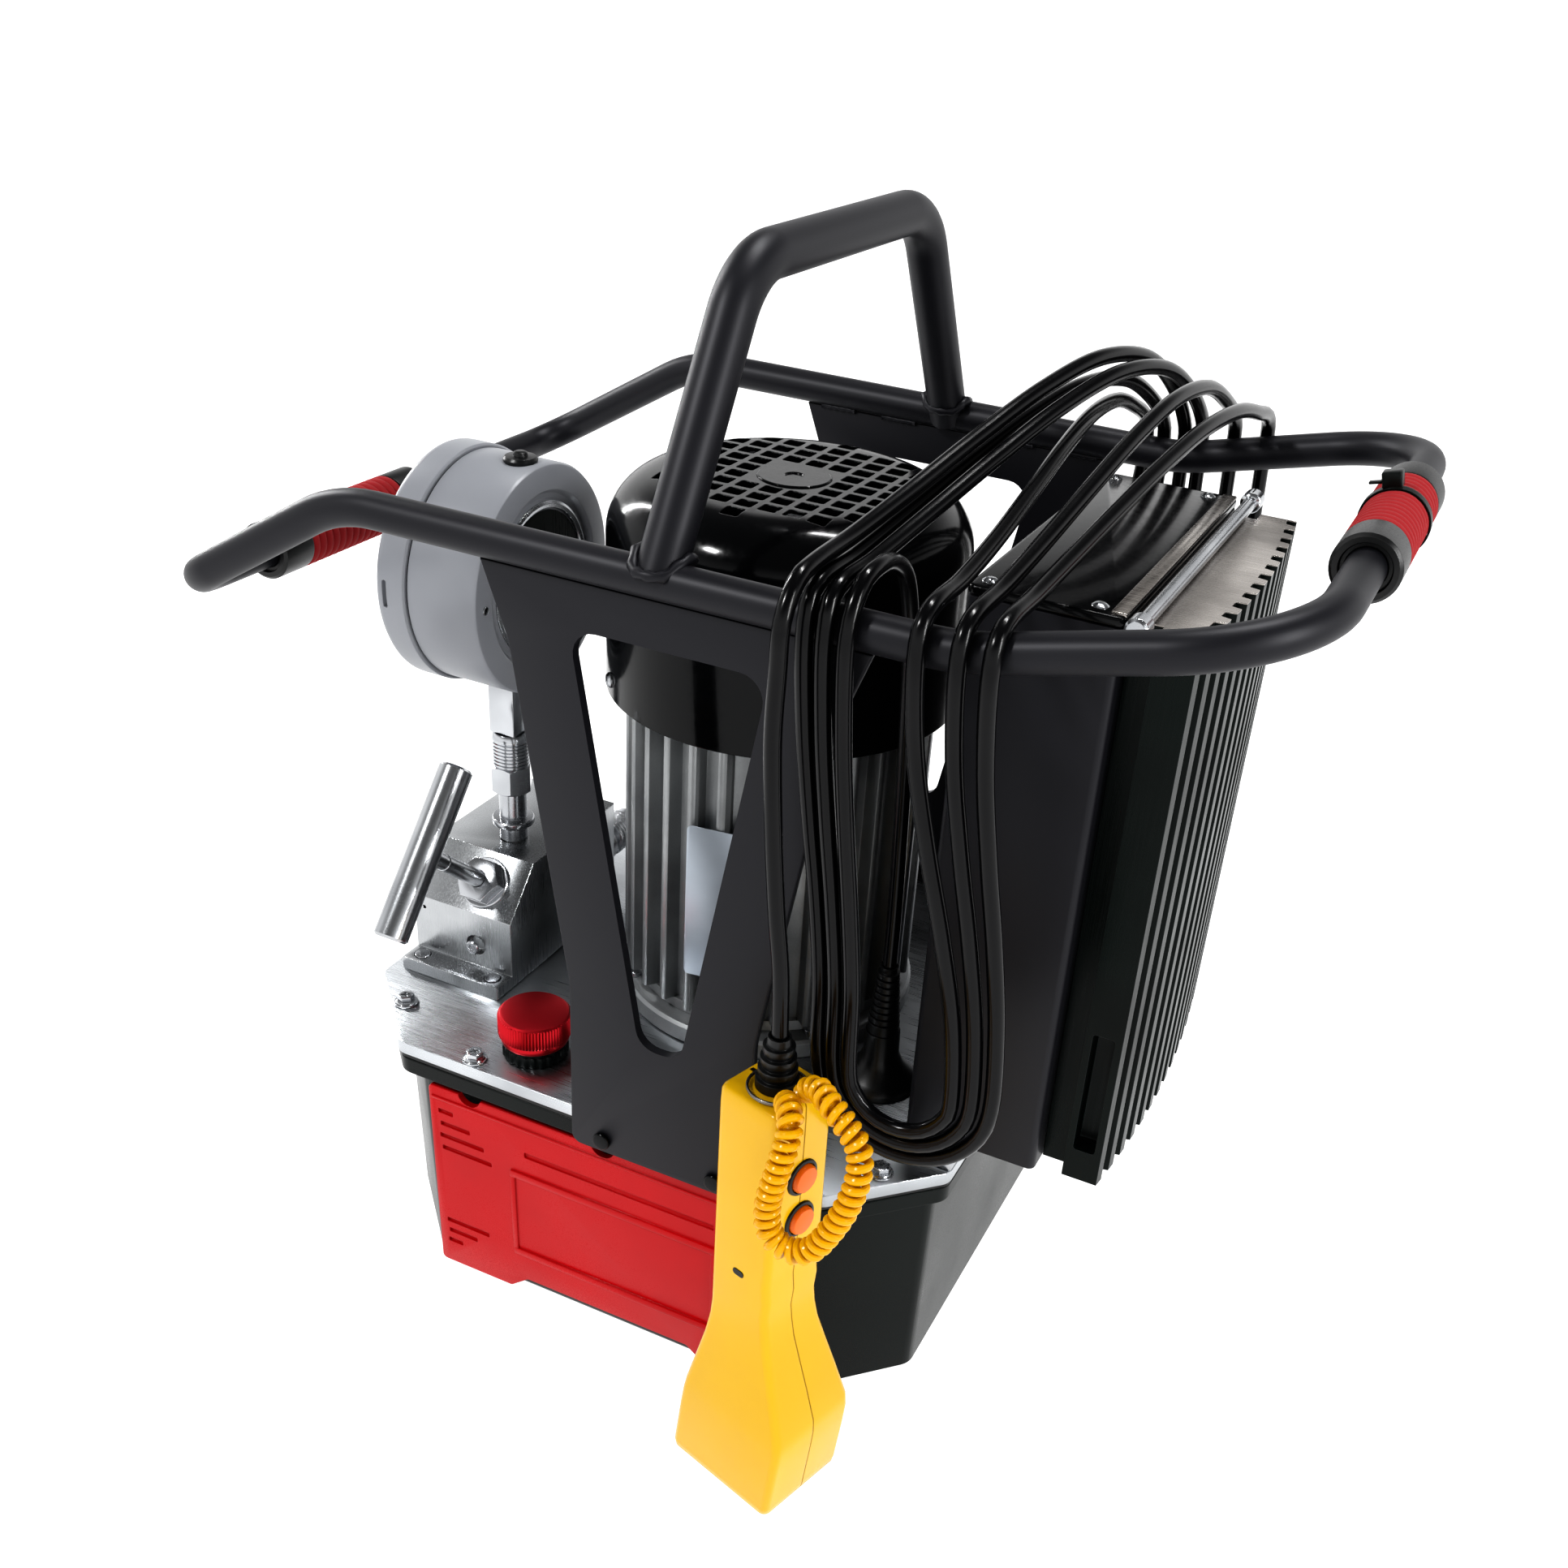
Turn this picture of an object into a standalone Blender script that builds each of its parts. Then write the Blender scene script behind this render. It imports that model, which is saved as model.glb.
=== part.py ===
"""Portable electric hydraulic power pack: tank, motor, valve block, gauge, carry frame and pendant.

Metres, +Z up. The origin is on the underside of the tank, below the middle of the carry frame.
+X runs along the side rails towards the heat sink, and -Y faces the front gusset.
"""

import math

import bmesh
import bpy
from mathutils import Matrix, Vector

GAP = 0.0003
FULL_TURN = 2 * math.pi

# Top plate and tank
PLATE_LENGTH = 0.367
PLATE_DEPTH = 0.334
PLATE_CENTRE_X = -0.0325
PLATE_LEFT = PLATE_CENTRE_X - PLATE_LENGTH / 2
PLATE_RIGHT = PLATE_CENTRE_X + PLATE_LENGTH / 2
PLATE_CHAMFER = 0.051
PLATE_TOP = 0.1625
PLATE_THICKNESS = 0.008
GASKET_THICKNESS = 0.002
FLANGE_THICKNESS = 0.012
FLANGE_INSET = 0.001
TANK_INSET_X = 0.010
TANK_INSET_Y = 0.008
TANK_TAPER = 0.003
TANK_WALL = 0.004
TANK_FLOOR = 0.005
PANEL_WIDTH = PLATE_LENGTH - 0.135
PANEL_THICKNESS = 0.004
PANEL_LOW = 0.012
PANEL_HIGH = PLATE_TOP - 0.0255
SCREW_HEAD_RADIUS = 0.006
SCREW_HEAD_HEIGHT = 0.005
SCREW_RADIUS = 0.003
SCREW_INSET = 0.032

# Carry frame
RAIL_RADIUS = 0.009
GUSSET_THICKNESS = 0.005
RAIL_Y = PLATE_DEPTH / 2 + GUSSET_THICKNESS / 2 + 0.0003
RAIL_Z = 0.473
LEFT_END_DROP = 0.065
RIGHT_END_RISE = 0.034
LEFT_END_X = PLATE_LEFT - 0.063
LEFT_END_Z = RAIL_Z - LEFT_END_DROP
LEFT_BEND_X = LEFT_END_X + 0.107
RIGHT_END_X = 0.279
RIGHT_END_Z = RAIL_Z + RIGHT_END_RISE
RIGHT_BEND_X = RIGHT_END_X - 0.136
ARCH_RADIUS = 0.0112
ARCH_TOP_Z = RAIL_Z + 0.122
ARCH_TOP_HALF = RAIL_Y - 0.0718
GUSSET_X = 0.0065
GUSSET_TOP_HALF = 0.098
GUSSET_SHOULDER_HALF = 0.084
GUSSET_SHOULDER_Z = RAIL_Z - 0.046
GUSSET_WAIST_HALF = 0.0535
GUSSET_WAIST_Z = PLATE_TOP + 0.0835
GUSSET_LOW = PLATE_TOP - 0.0195
CUTOUT_HIGH = RAIL_Z - 0.032
CUTOUT_LOW = PLATE_TOP + 0.0585
CUTOUT_TOP_HALF = 0.051
CUTOUT_LOW_HALF = 0.012
GRIP_RADIUS = 0.0155
GRIP_LENGTH = 0.128
LEFT_GRIP_Y = -0.045

# Valve block, relief valve and gauge
BLOCK_X = (PLATE_LEFT + 0.008, PLATE_LEFT + 0.076)
BLOCK_LEDGE_Y = -0.107
BLOCK_FACE_Y = -0.092
BLOCK_SLOPE_Y = -0.067
BLOCK_BACK_Y = 0.022
BLOCK_LEDGE_Z = PLATE_TOP + 0.0085
BLOCK_FACE_Z = PLATE_TOP + 0.0445
BLOCK_TOP_Z = PLATE_TOP + 0.0735
PORT_RADIUS = 0.0065
PORT_DEPTH = 0.016
RELIEF_X = BLOCK_X[0] + 0.043
GLAND_ACROSS = 0.024
GLAND_HEIGHT = 0.012
STEM_RADIUS = 0.005
STEM_LENGTH = 0.072
STEM_ENTRY = 0.016
T_BAR_RADIUS = 0.0095
T_BAR_LENGTH = 0.101
GAUGE_X = BLOCK_X[0] + 0.040
GAUGE_Y = -0.046
GAUGE_Z = BLOCK_TOP_Z + 0.167
GAUGE_CASE_RADIUS = 0.063
GAUGE_RING_RADIUS = GAUGE_CASE_RADIUS + 0.002
GAUGE_BACK_X = GAUGE_X + 0.026
GAUGE_SEAM_X = GAUGE_X - 0.017
GAUGE_FRONT_X = GAUGE_X - 0.037
GAUGE_WALL = 0.004
NUT_ACROSS = 0.022
NUT_HEIGHT = 0.038
NIPPLE_RADIUS = 0.0082
NIPPLE_HEIGHT = 0.032
SOCKET_SIDE = 0.017
OUTLET_SPACING = 0.038
OUTLET_LENGTH = 0.040

# Oil filler
FILLER_X = -0.094
FILLER_Y = 0.031 - PLATE_DEPTH / 2
FILLER_RADIUS = 0.0185
FILLER_HEIGHT = 0.009
CAP_RADIUS = 0.0205
CAP_HEIGHT = 0.018

# Motor
MOTOR_X = -0.018
MOTOR_FIN_RADIUS = 0.086
MOTOR_FLANGE_RADIUS = MOTOR_FIN_RADIUS + 0.002
MOTOR_FLANGE_HEIGHT = 0.014
MOTOR_ROOT_RADIUS = MOTOR_FIN_RADIUS - 0.009
MOTOR_FIN_COUNT = 30
MOTOR_TOP_Z = RAIL_Z - 0.088
MOTOR_BORE = MOTOR_ROOT_RADIUS - 0.009
STATOR_BORE = 0.043
ROTOR_RADIUS = 0.042
SHAFT_RADIUS = 0.009
BEARING_RADIUS = 0.020
SHIELD_THICKNESS = 0.012
FAN_RADIUS = 0.074
FAN_HUB_RADIUS = 0.016
FAN_HEIGHT = 0.034
FAN_BLADES = 8
COWL_RADIUS = MOTOR_FIN_RADIUS + 0.011
COWL_LOW = MOTOR_TOP_Z - 0.028
COWL_TOP = RAIL_Z
COWL_WALL = 0.002
COWL_SHOULDER = 0.032
GRILLE_PITCH = 0.0135
GRILLE_BAR = 0.0035

# Pump unit in the tank
PUMP_RADIUS = 0.045
PUMP_HEIGHT = 0.072
STRAINER_RADIUS = 0.024
STRAINER_HEIGHT = 0.030

# Electrical box and heat sink
BOX_X = (0.118, 0.191)
BOX_HALF_DEPTH = 0.103
BOX_LOW = PLATE_TOP + 0.0085
BOX_TOP = RAIL_Z - 0.001
BOX_WALL = 0.003
BOX_GROOVE = 0.014
LID_THICKNESS = 0.005
SPACER_HALF_DEPTH = BOX_HALF_DEPTH - 0.015
SINK_HALF_DEPTH = BOX_HALF_DEPTH - 0.005
SINK_SIDE = 0.019
SINK_BULGE = 0.007
SINK_WALL = 0.0025
SINK_FIN = 0.005
SINK_FIN_COUNT = 13
SINK_WINDOW = (0.190, 0.262)
ROD_RADIUS = 0.0035
KNOB_RADIUS = ROD_RADIUS + 0.002

# Cable gland, cord and pendant
GLAND_X = 0.085
GLAND_Y = -0.062
GLAND_RADIUS = 0.022
BOOT_RADIUS = 0.009
BOOT_TOP = 0.240
CORD_DIAMETER = 0.008
HANK_X = (0.066, 0.162)
HANK_FRONT_LOW = 0.212
HANK_STEP_X = 0.122
HANK_REAR_LOW = 0.300
HANK_THICKNESS = 0.017
PENDANT_X = 0.0885
PENDANT_Y = -RAIL_Y - 0.0352
PENDANT_TURN = math.radians(-17)
PENDANT_LOW = 0.004
PENDANT_HIGH = 0.256
PENDANT_HALF = 0.0195
PENDANT_BOOT_TOP = 0.284
BUTTON_RADIUS = 0.0075
BUTTON_PROUD = 0.004
BUTTON_Z = (0.212, 0.186)
LANYARD_RADIUS = 0.0065


def clear_scene():
    """Remove every object of the opened scene."""
    for item in list(bpy.data.objects):
        bpy.data.objects.remove(item, do_unlink=True)


def material(name, colour, roughness, metallic=0.0):
    """Return a Principled material with one colour, roughness and metallic value."""
    made = bpy.data.materials.new(name)
    made.use_nodes = True
    shader = made.node_tree.nodes["Principled BSDF"]
    shader.inputs["Base Color"].default_value = (*colour, 1.0)
    shader.inputs["Roughness"].default_value = roughness
    shader.inputs["Metallic"].default_value = metallic
    made.diffuse_color = (*colour, 1.0)
    return made


def finish(name, bm, finish_material, sharp_degrees=35):
    """Turn a bmesh into a named object with outward faces and smooth round sides."""
    bmesh.ops.recalc_face_normals(bm, faces=bm.faces)
    mesh = bpy.data.meshes.new(name)
    bm.to_mesh(mesh)
    bm.free()
    mesh.shade_smooth()
    mesh.set_sharp_from_angle(angle=math.radians(sharp_degrees))
    made = bpy.data.objects.new(name, mesh)
    bpy.context.collection.objects.link(made)
    if finish_material:
        mesh.materials.append(finish_material)
    return made


def rounded(corners, radius, steps=3):
    """Round each corner of a closed 2D outline with an arc of the given radius."""
    count = len(corners)
    points = []
    for index, corner in enumerate(corners):
        here = Vector(corner)
        back = (Vector(corners[index - 1]) - here)
        ahead = (Vector(corners[(index + 1) % count]) - here)
        half = back.angle(ahead) / 2
        reach = min(radius / math.tan(half), 0.45 * back.length, 0.45 * ahead.length)
        true_radius = reach * math.tan(half)
        centre = here + (back.normalized() + ahead.normalized()).normalized() * (true_radius / math.sin(half))
        start = here + back.normalized() * reach - centre
        end = here + ahead.normalized() * reach - centre
        swing = start.angle_signed(end)
        for step in range(steps + 1):
            turned = start.copy()
            turned.rotate(Matrix.Rotation(-swing * step / steps, 2))
            points.append(tuple(centre + turned))
    return points


def octagon(inset_x=0.0, inset_y=0.0, chamfer=PLATE_CHAMFER, radius=0.005):
    """Outline of the top plate, moved in by the insets, with chamfered and slightly rounded corners."""
    half_x = PLATE_LENGTH / 2 - inset_x
    half_y = PLATE_DEPTH / 2 - inset_y
    cut_x = half_x - chamfer
    cut_y = half_y - chamfer
    quarter = [(half_x, -cut_y), (half_x, cut_y), (cut_x, half_y), (-cut_x, half_y)]
    corners = quarter + [(-x, -y) for x, y in quarter]
    return [(PLATE_CENTRE_X + x, y) for x, y in rounded(corners, radius, 2)]


def rectangle(x_low, x_high, y_low, y_high):
    """Outline of an upright rectangle."""
    return [(x_low, y_low), (x_high, y_low), (x_high, y_high), (x_low, y_high)]


def circle(radius, sides, centre=(0.0, 0.0), start=0.0):
    """Outline of a regular polygon with its corners on a circle."""
    turn = FULL_TURN / sides
    return [
        (centre[0] + radius * math.cos(start + turn * side),
         centre[1] + radius * math.sin(start + turn * side))
        for side in range(sides)
    ]


def stack(name, rings, finish_material, sharp_degrees=35):
    """Closed solid through rings of equal count, each an outline and its height."""
    bm = bmesh.new()
    loops = [[bm.verts.new((x, y, z)) for x, y in outline] for outline, z in rings]
    count = len(loops[0])
    for low, high in zip(loops, loops[1:]):
        for side in range(count):
            after = (side + 1) % count
            bm.faces.new((low[side], low[after], high[after], high[side]))
    bm.faces.new(loops[0])
    bm.faces.new(loops[-1])
    return finish(name, bm, finish_material, sharp_degrees)


def prism(name, outline, low, high, finish_material, axis="Z"):
    """Extrude an outline along an axis: (x, y) along Z, (x, z) along Y or (y, z) along X."""
    made = stack(name, [(outline, low), (outline, high)], finish_material)
    turns = {
        "Z": Matrix.Identity(4),
        "Y": Matrix(((1, 0, 0, 0), (0, 0, 1, 0), (0, 1, 0, 0), (0, 0, 0, 1))),
        "X": Matrix(((0, 0, 1, 0), (1, 0, 0, 0), (0, 1, 0, 0), (0, 0, 0, 1))),
    }
    made.data.transform(turns[axis])
    if axis == "Y":
        made.data.flip_normals()
    return made


def box(name, low, high, finish_material):
    """Block between two corners."""
    return prism(name, rectangle(low[0], high[0], low[1], high[1]), low[2], high[2], finish_material)


def lathe(name, profile, finish_material, place=(0, 0, 0), axis=(0, 0, 1), sides=40):
    """Turn a closed (radius, height) profile about the object's own Z axis, then aim that axis."""
    bm = bmesh.new()
    on_axis = [radius < 1e-9 for radius, _ in profile]
    corners = [bm.verts.new((radius, 0, height)) for radius, height in profile]
    edges = []
    for index in range(len(corners)):
        after = (index + 1) % len(corners)
        if not (on_axis[index] and on_axis[after]):
            edges.append(bm.edges.new((corners[index], corners[after])))
    bmesh.ops.spin(
        bm, geom=corners + edges, cent=(0, 0, 0), axis=(0, 0, 1), angle=FULL_TURN, steps=sides, use_merge=True
    )
    bmesh.ops.remove_doubles(bm, verts=bm.verts, dist=1e-6)
    made = finish(name, bm, finish_material)
    made.location = place
    made.rotation_mode = "QUATERNION"
    made.rotation_quaternion = Vector((0, 0, 1)).rotation_difference(Vector(axis))
    return made


def disc_profile(radius, low, high, edge=0.0):
    """Profile of a solid disc or pin with small chamfers."""
    if edge:
        return [(0, low), (radius - edge, low), (radius, low + edge), (radius, high - edge),
                (radius - edge, high), (0, high)]
    return [(0, low), (radius, low), (radius, high), (0, high)]


def ring_profile(inner, outer, low, high):
    """Profile of a plain ring."""
    return [(inner, low), (outer, low), (outer, high), (inner, high)]


def cut(target, *cutters):
    """Cut shapes from a target, which keeps them as hidden Boolean guides."""
    for cutter in cutters:
        combine(target, cutter, "DIFFERENCE")
    return target


def combine(target, other, operation):
    """Add an exact Boolean modifier and hide the other shape."""
    other.hide_render = True
    other.display_type = "WIRE"
    modifier = target.modifiers.new(other.name, "BOOLEAN")
    modifier.operation = operation
    modifier.solver = "EXACT"
    modifier.object = other
    return target


def smooth_path(route, spacing, closed=False):
    """Points at an even spacing along a Catmull-Rom curve through the route's points."""
    knots = [Vector(point) for point in route]
    if closed:
        knots = [knots[-1], *knots, knots[0], knots[1]]
    else:
        knots = [2 * knots[0] - knots[1], *knots, 2 * knots[-1] - knots[-2]]
    fine = []
    for a, b, c, d in zip(knots, knots[1:], knots[2:], knots[3:]):
        for step in range(24):
            t = step / 24
            fine.append(
                0.5 * (2 * b + (c - a) * t + (2 * a - 5 * b + 4 * c - d) * t**2 + (3 * b - a - 3 * c + d) * t**3)
            )
    if not closed:
        fine.append(knots[-2].copy())
    lengths = [0.0]
    for start, end in zip(fine, fine[1:]):
        lengths.append(lengths[-1] + (end - start).length)
    count = max(2, round(lengths[-1] / spacing))
    points = []
    index = 0
    for step in range(count + (0 if closed else 1)):
        wanted = lengths[-1] * step / count
        while index < len(lengths) - 2 and lengths[index + 1] < wanted:
            index += 1
        share = (wanted - lengths[index]) / max(lengths[index + 1] - lengths[index], 1e-9)
        points.append(fine[index].lerp(fine[index + 1], min(share, 1.0)))
    return points


def bent_path(corners, radii, closed=False, step_degrees=12):
    """Straight runs joined by arcs: one bend radius for each corner, zero for a plain end."""
    count = len(corners)
    knots = [Vector(corner) for corner in corners]
    points = []
    for index, here in enumerate(knots):
        if radii[index] == 0:
            points.append(here)
            continue
        back = (knots[index - 1] - here).normalized()
        ahead = (knots[(index + 1) % count] - here).normalized()
        half = back.angle(ahead) / 2
        reach = radii[index] / math.tan(half)
        centre = here + (back + ahead).normalized() * (radii[index] / math.sin(half))
        start = here + back * reach - centre
        turn = math.pi - 2 * half
        normal = start.cross(here + ahead * reach - centre).normalized()
        steps = max(2, math.ceil(math.degrees(turn) / step_degrees))
        for step in range(steps + 1):
            points.append(centre + Matrix.Rotation(turn * step / steps, 3, normal) @ start)
    return points


def tube(name, points, radius, finish_material, closed=False, resolution=4, as_mesh=True):
    """Round bar or cord along a polyline, as a bevelled curve with filled caps."""
    curve = bpy.data.curves.new(name, "CURVE")
    curve.dimensions = "3D"
    curve.bevel_depth = radius
    curve.bevel_resolution = resolution
    curve.use_fill_caps = not closed
    spline = curve.splines.new("POLY")
    spline.points.add(len(points) - 1)
    for knot, point in zip(spline.points, points):
        knot.co = (*point, 1.0)
    spline.use_cyclic_u = closed
    made = bpy.data.objects.new(name, curve)
    bpy.context.collection.objects.link(made)
    curve.materials.append(finish_material)
    if not as_mesh:
        return made
    mesh = bpy.data.meshes.new_from_object(made.evaluated_get(bpy.context.evaluated_depsgraph_get()))
    bpy.data.objects.remove(made)
    bm = bmesh.new()
    bm.from_mesh(mesh)
    bmesh.ops.remove_doubles(bm, verts=bm.verts, dist=1e-6)
    bpy.data.meshes.remove(mesh)
    return finish(name, bm, finish_material, 50)


def pivot(name, place, direction=None):
    """Empty on a joint's axis, which carries a moving piece."""
    empty = bpy.data.objects.new(name, None)
    empty.location = place
    if direction:
        empty.rotation_mode = "QUATERNION"
        empty.rotation_quaternion = Vector((0, 0, 1)).rotation_difference(Vector(direction))
    bpy.context.collection.objects.link(empty)
    return empty


# Heights and faces that follow from the sizes above
PLATE_LOW = PLATE_TOP - PLATE_THICKNESS
FLANGE_TOP = PLATE_LOW - GASKET_THICKNESS - 2 * GAP
FLANGE_LOW = FLANGE_TOP - FLANGE_THICKNESS
ON_PLATE = PLATE_TOP + GAP
TANK_FRONT_Y = PLATE_DEPTH / 2 - TANK_INSET_Y
SCREW_SPOTS = [
    (PLATE_CENTRE_X + side * (PLATE_LENGTH / 2 - SCREW_INSET), end * (PLATE_DEPTH / 2 - SCREW_INSET))
    for side in (-1, 1)
    for end in (-1, 1)
]
SHAFT_TOP = COWL_TOP - 0.020
ROTOR_LOW = ON_PLATE + MOTOR_FLANGE_HEIGHT + 0.040
ROTOR_HIGH = MOTOR_TOP_Z - 0.050
SHIELD_LOW = MOTOR_TOP_Z + GAP
SHIELD_HIGH = SHIELD_LOW + SHIELD_THICKNESS
FAN_LOW = SHIELD_HIGH + 0.004
HANK_FRONT_Y = RAIL_Y + RAIL_RADIUS + GAP
HANK_TOP_LOW = RAIL_Z + RAIL_RADIUS + 0.003
SINK_X = BOX_X[1] + BOX_GROOVE


def tank_outline(drop):
    """Outline of the tank's outer wall, from 0 at its top to 1 at the floor."""
    return octagon(TANK_INSET_X + TANK_TAPER * drop, TANK_INSET_Y + TANK_TAPER * drop)


def inner_outline(drop):
    """Outline of the tank's inner wall, from 0 at its top to 1 at the floor."""
    wall = TANK_WALL + TANK_TAPER * drop
    return octagon(TANK_INSET_X + wall, TANK_INSET_Y + wall)


def build_tank(black, red, rubber):
    """Moulded tank with its flange, the red front panel and the seal under the top plate."""
    flange = octagon(FLANGE_INSET, FLANGE_INSET)
    rings = [
        (octagon(TANK_INSET_X + TANK_TAPER + 0.003, TANK_INSET_Y + TANK_TAPER + 0.003), 0.0),
        (tank_outline(1), 0.004),
        (tank_outline(0), FLANGE_LOW),
        (flange, FLANGE_LOW),
        (flange, FLANGE_TOP),
        (inner_outline(0), FLANGE_TOP),
        (inner_outline(1), TANK_FLOOR),
    ]
    stack("tank", rings, black, 20)
    seal = prism("tank_seal", octagon(FLANGE_INSET, FLANGE_INSET), FLANGE_TOP + GAP, PLATE_LOW - GAP, rubber)
    cut(seal, prism("seal_cutter", inner_outline(0), 0, PLATE_TOP, None))

    half = PANEL_WIDTH / 2
    lean = TANK_TAPER / FLANGE_LOW
    low = PLATE_CENTRE_X - half
    high = PLATE_CENTRE_X + half
    step = 0.010
    corners = [
        (low, PANEL_HIGH), (low, PANEL_LOW - step), (low + 0.050, PANEL_LOW - step), (low + 0.062, PANEL_LOW),
        (high - 0.062, PANEL_LOW), (high - 0.050, PANEL_LOW - step), (high, PANEL_LOW - step), (high,
                                                                                                PANEL_HIGH),
    ]
    front = -TANK_FRONT_Y - GAP
    panel = prism("tank_front_panel", rounded(corners, 0.003, 2), front - PANEL_THICKNESS, front, red, "Y")
    shear = Matrix.Identity(4)
    shear[1][2] = -lean
    shear[1][3] = lean * FLANGE_LOW
    panel.data.transform(shear)


def screw(name, spot, steel):
    """Hexagon washer-head screw through the top plate and the seal into the tank's flange."""
    profile = [
        (0, PLATE_LOW + 0.001), (SCREW_RADIUS, PLATE_LOW + 0.001), (SCREW_RADIUS, ON_PLATE),
        (SCREW_HEAD_RADIUS + 0.001, ON_PLATE), (SCREW_HEAD_RADIUS + 0.001, ON_PLATE + 0.001),
        (SCREW_HEAD_RADIUS, ON_PLATE + 0.001), (SCREW_HEAD_RADIUS, ON_PLATE + SCREW_HEAD_HEIGHT),
        (0, ON_PLATE + SCREW_HEAD_HEIGHT),
    ]
    lathe(name, profile, steel, (*spot, 0), sides=12)


def build_top_plate(aluminium, steel):
    """Machined top plate with its screw, filler and pump holes, and four of its screws."""
    plate = prism("top_plate", octagon(), PLATE_LOW, PLATE_TOP, aluminium)
    holes = [(spot, SCREW_RADIUS + GAP, 12) for spot in SCREW_SPOTS]
    holes.append(((FILLER_X, FILLER_Y), FILLER_RADIUS - 0.006, 24))
    holes.append(((MOTOR_X, 0), SHAFT_RADIUS + 0.004, 24))
    for number, (spot, radius, sides) in enumerate(holes):
        cut(plate, prism(f"plate_hole_{number}", circle(radius, sides, spot), PLATE_LOW - 0.01,
                         PLATE_TOP + 0.01, None))
    names = ("rear_left", "front_left", "front_right", "rear_right")
    spots = (SCREW_SPOTS[1], SCREW_SPOTS[0], SCREW_SPOTS[2], SCREW_SPOTS[3])
    for name, spot in zip(names, spots):
        screw(f"plate_screw_{name}", spot, steel)


def build_filler(red, black):
    """Black filler neck with the red screw cap, which turns about the neck's own axis."""
    neck_top = ON_PLATE + FILLER_HEIGHT
    inner = FILLER_RADIUS - 0.006
    lathe("filler_neck", ring_profile(inner, FILLER_RADIUS, ON_PLATE, neck_top), black, (FILLER_X,
                                                                                         FILLER_Y, 0),
                                                                                         sides=32)
    base = neck_top + GAP
    plug = inner - GAP
    profile = [
        (0, -FILLER_HEIGHT), (plug, -FILLER_HEIGHT), (plug, 0), (CAP_RADIUS, 0),
        (CAP_RADIUS, CAP_HEIGHT - 0.002), (CAP_RADIUS - 0.002, CAP_HEIGHT), (0, CAP_HEIGHT),
    ]
    lathe("oil_cap", profile, red, (FILLER_X, FILLER_Y, base), sides=40)


def slope_frame():
    """Middle of the valve block's sloped face and the direction that the face looks."""
    rise = BLOCK_TOP_Z - BLOCK_FACE_Z
    run = BLOCK_SLOPE_Y - BLOCK_FACE_Y
    normal = Vector((0, -rise, run)).normalized()
    middle = Vector((RELIEF_X, (BLOCK_FACE_Y + BLOCK_SLOPE_Y) / 2, (BLOCK_FACE_Z + BLOCK_TOP_Z) / 2))
    return middle, normal


def build_valve_block(aluminium, steel, chrome):
    """Valve block with its test port, relief valve with a T-bar, and two outlet nipples."""
    middle, normal = slope_frame()
    outline = [
        (BLOCK_LEDGE_Y, ON_PLATE), (BLOCK_LEDGE_Y, BLOCK_LEDGE_Z), (BLOCK_FACE_Y, BLOCK_LEDGE_Z),
        (BLOCK_FACE_Y, BLOCK_FACE_Z), (BLOCK_SLOPE_Y, BLOCK_TOP_Z), (BLOCK_BACK_Y, BLOCK_TOP_Z),
        (BLOCK_BACK_Y, ON_PLATE),
    ]
    block = prism("valve_block", outline, *BLOCK_X, aluminium, "X")
    port_z = (BLOCK_LEDGE_Z + BLOCK_FACE_Z) / 2 - 0.004
    port = lathe("test_port_cutter", disc_profile(PORT_RADIUS, -0.005, PORT_DEPTH), None,
                 (RELIEF_X, BLOCK_FACE_Y, port_z), (0, 1, 0), 20)
    stem_hole = lathe("stem_hole_cutter", disc_profile(STEM_RADIUS + 2 * GAP, -STEM_ENTRY - 0.001, 0.01),
                      None,
                      middle, normal, 20)
    cut(block, port, stem_hole)

    gland = lathe("relief_gland", ring_profile(STEM_RADIUS + 2 * GAP, GLAND_ACROSS / math.sqrt(3), GAP,
                                               GLAND_HEIGHT),
                  steel, middle, normal, 24)
    hexagon = prism("gland_hexagon", circle(GLAND_ACROSS / math.sqrt(3), 6), -0.01, 0.03, None)
    hexagon.location = middle
    hexagon.rotation_mode = "QUATERNION"
    hexagon.rotation_quaternion = Vector((0, 0, 1)).rotation_difference(normal)
    combine(gland, hexagon, "INTERSECT")

    holder = pivot("relief_axis", middle, normal)
    stem_end = STEM_LENGTH - T_BAR_RADIUS - GAP
    stem = lathe("relief_stem", disc_profile(STEM_RADIUS, -STEM_ENTRY, stem_end), steel, sides=20)
    stem.parent = holder
    t_bar = lathe("relief_t_bar", disc_profile(T_BAR_RADIUS, -T_BAR_LENGTH / 2, T_BAR_LENGTH / 2, 0.001),
                  chrome,
                  (0, 0, STEM_LENGTH), (0, 1, 0), 24)
    t_bar.parent = holder

    outlet_z = (ON_PLATE + BLOCK_TOP_Z) / 2
    for name, side in (("advance", -1), ("retract", 1)):
        place = (sum(BLOCK_X) / 2 + side * OUTLET_SPACING / 2, BLOCK_BACK_Y + GAP, outlet_z)
        profile = [
            (0, 0), (0.011, 0), (0.011, 0.010), (0.0075, 0.011), (0.0075, 0.020),
            (0.0125, 0.021), (0.0125, OUTLET_LENGTH - 0.002), (0.0105, OUTLET_LENGTH), (0, OUTLET_LENGTH),
        ]
        lathe(f"outlet_{name}", profile, steel, place, (0, 1, 0), 20)


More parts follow.
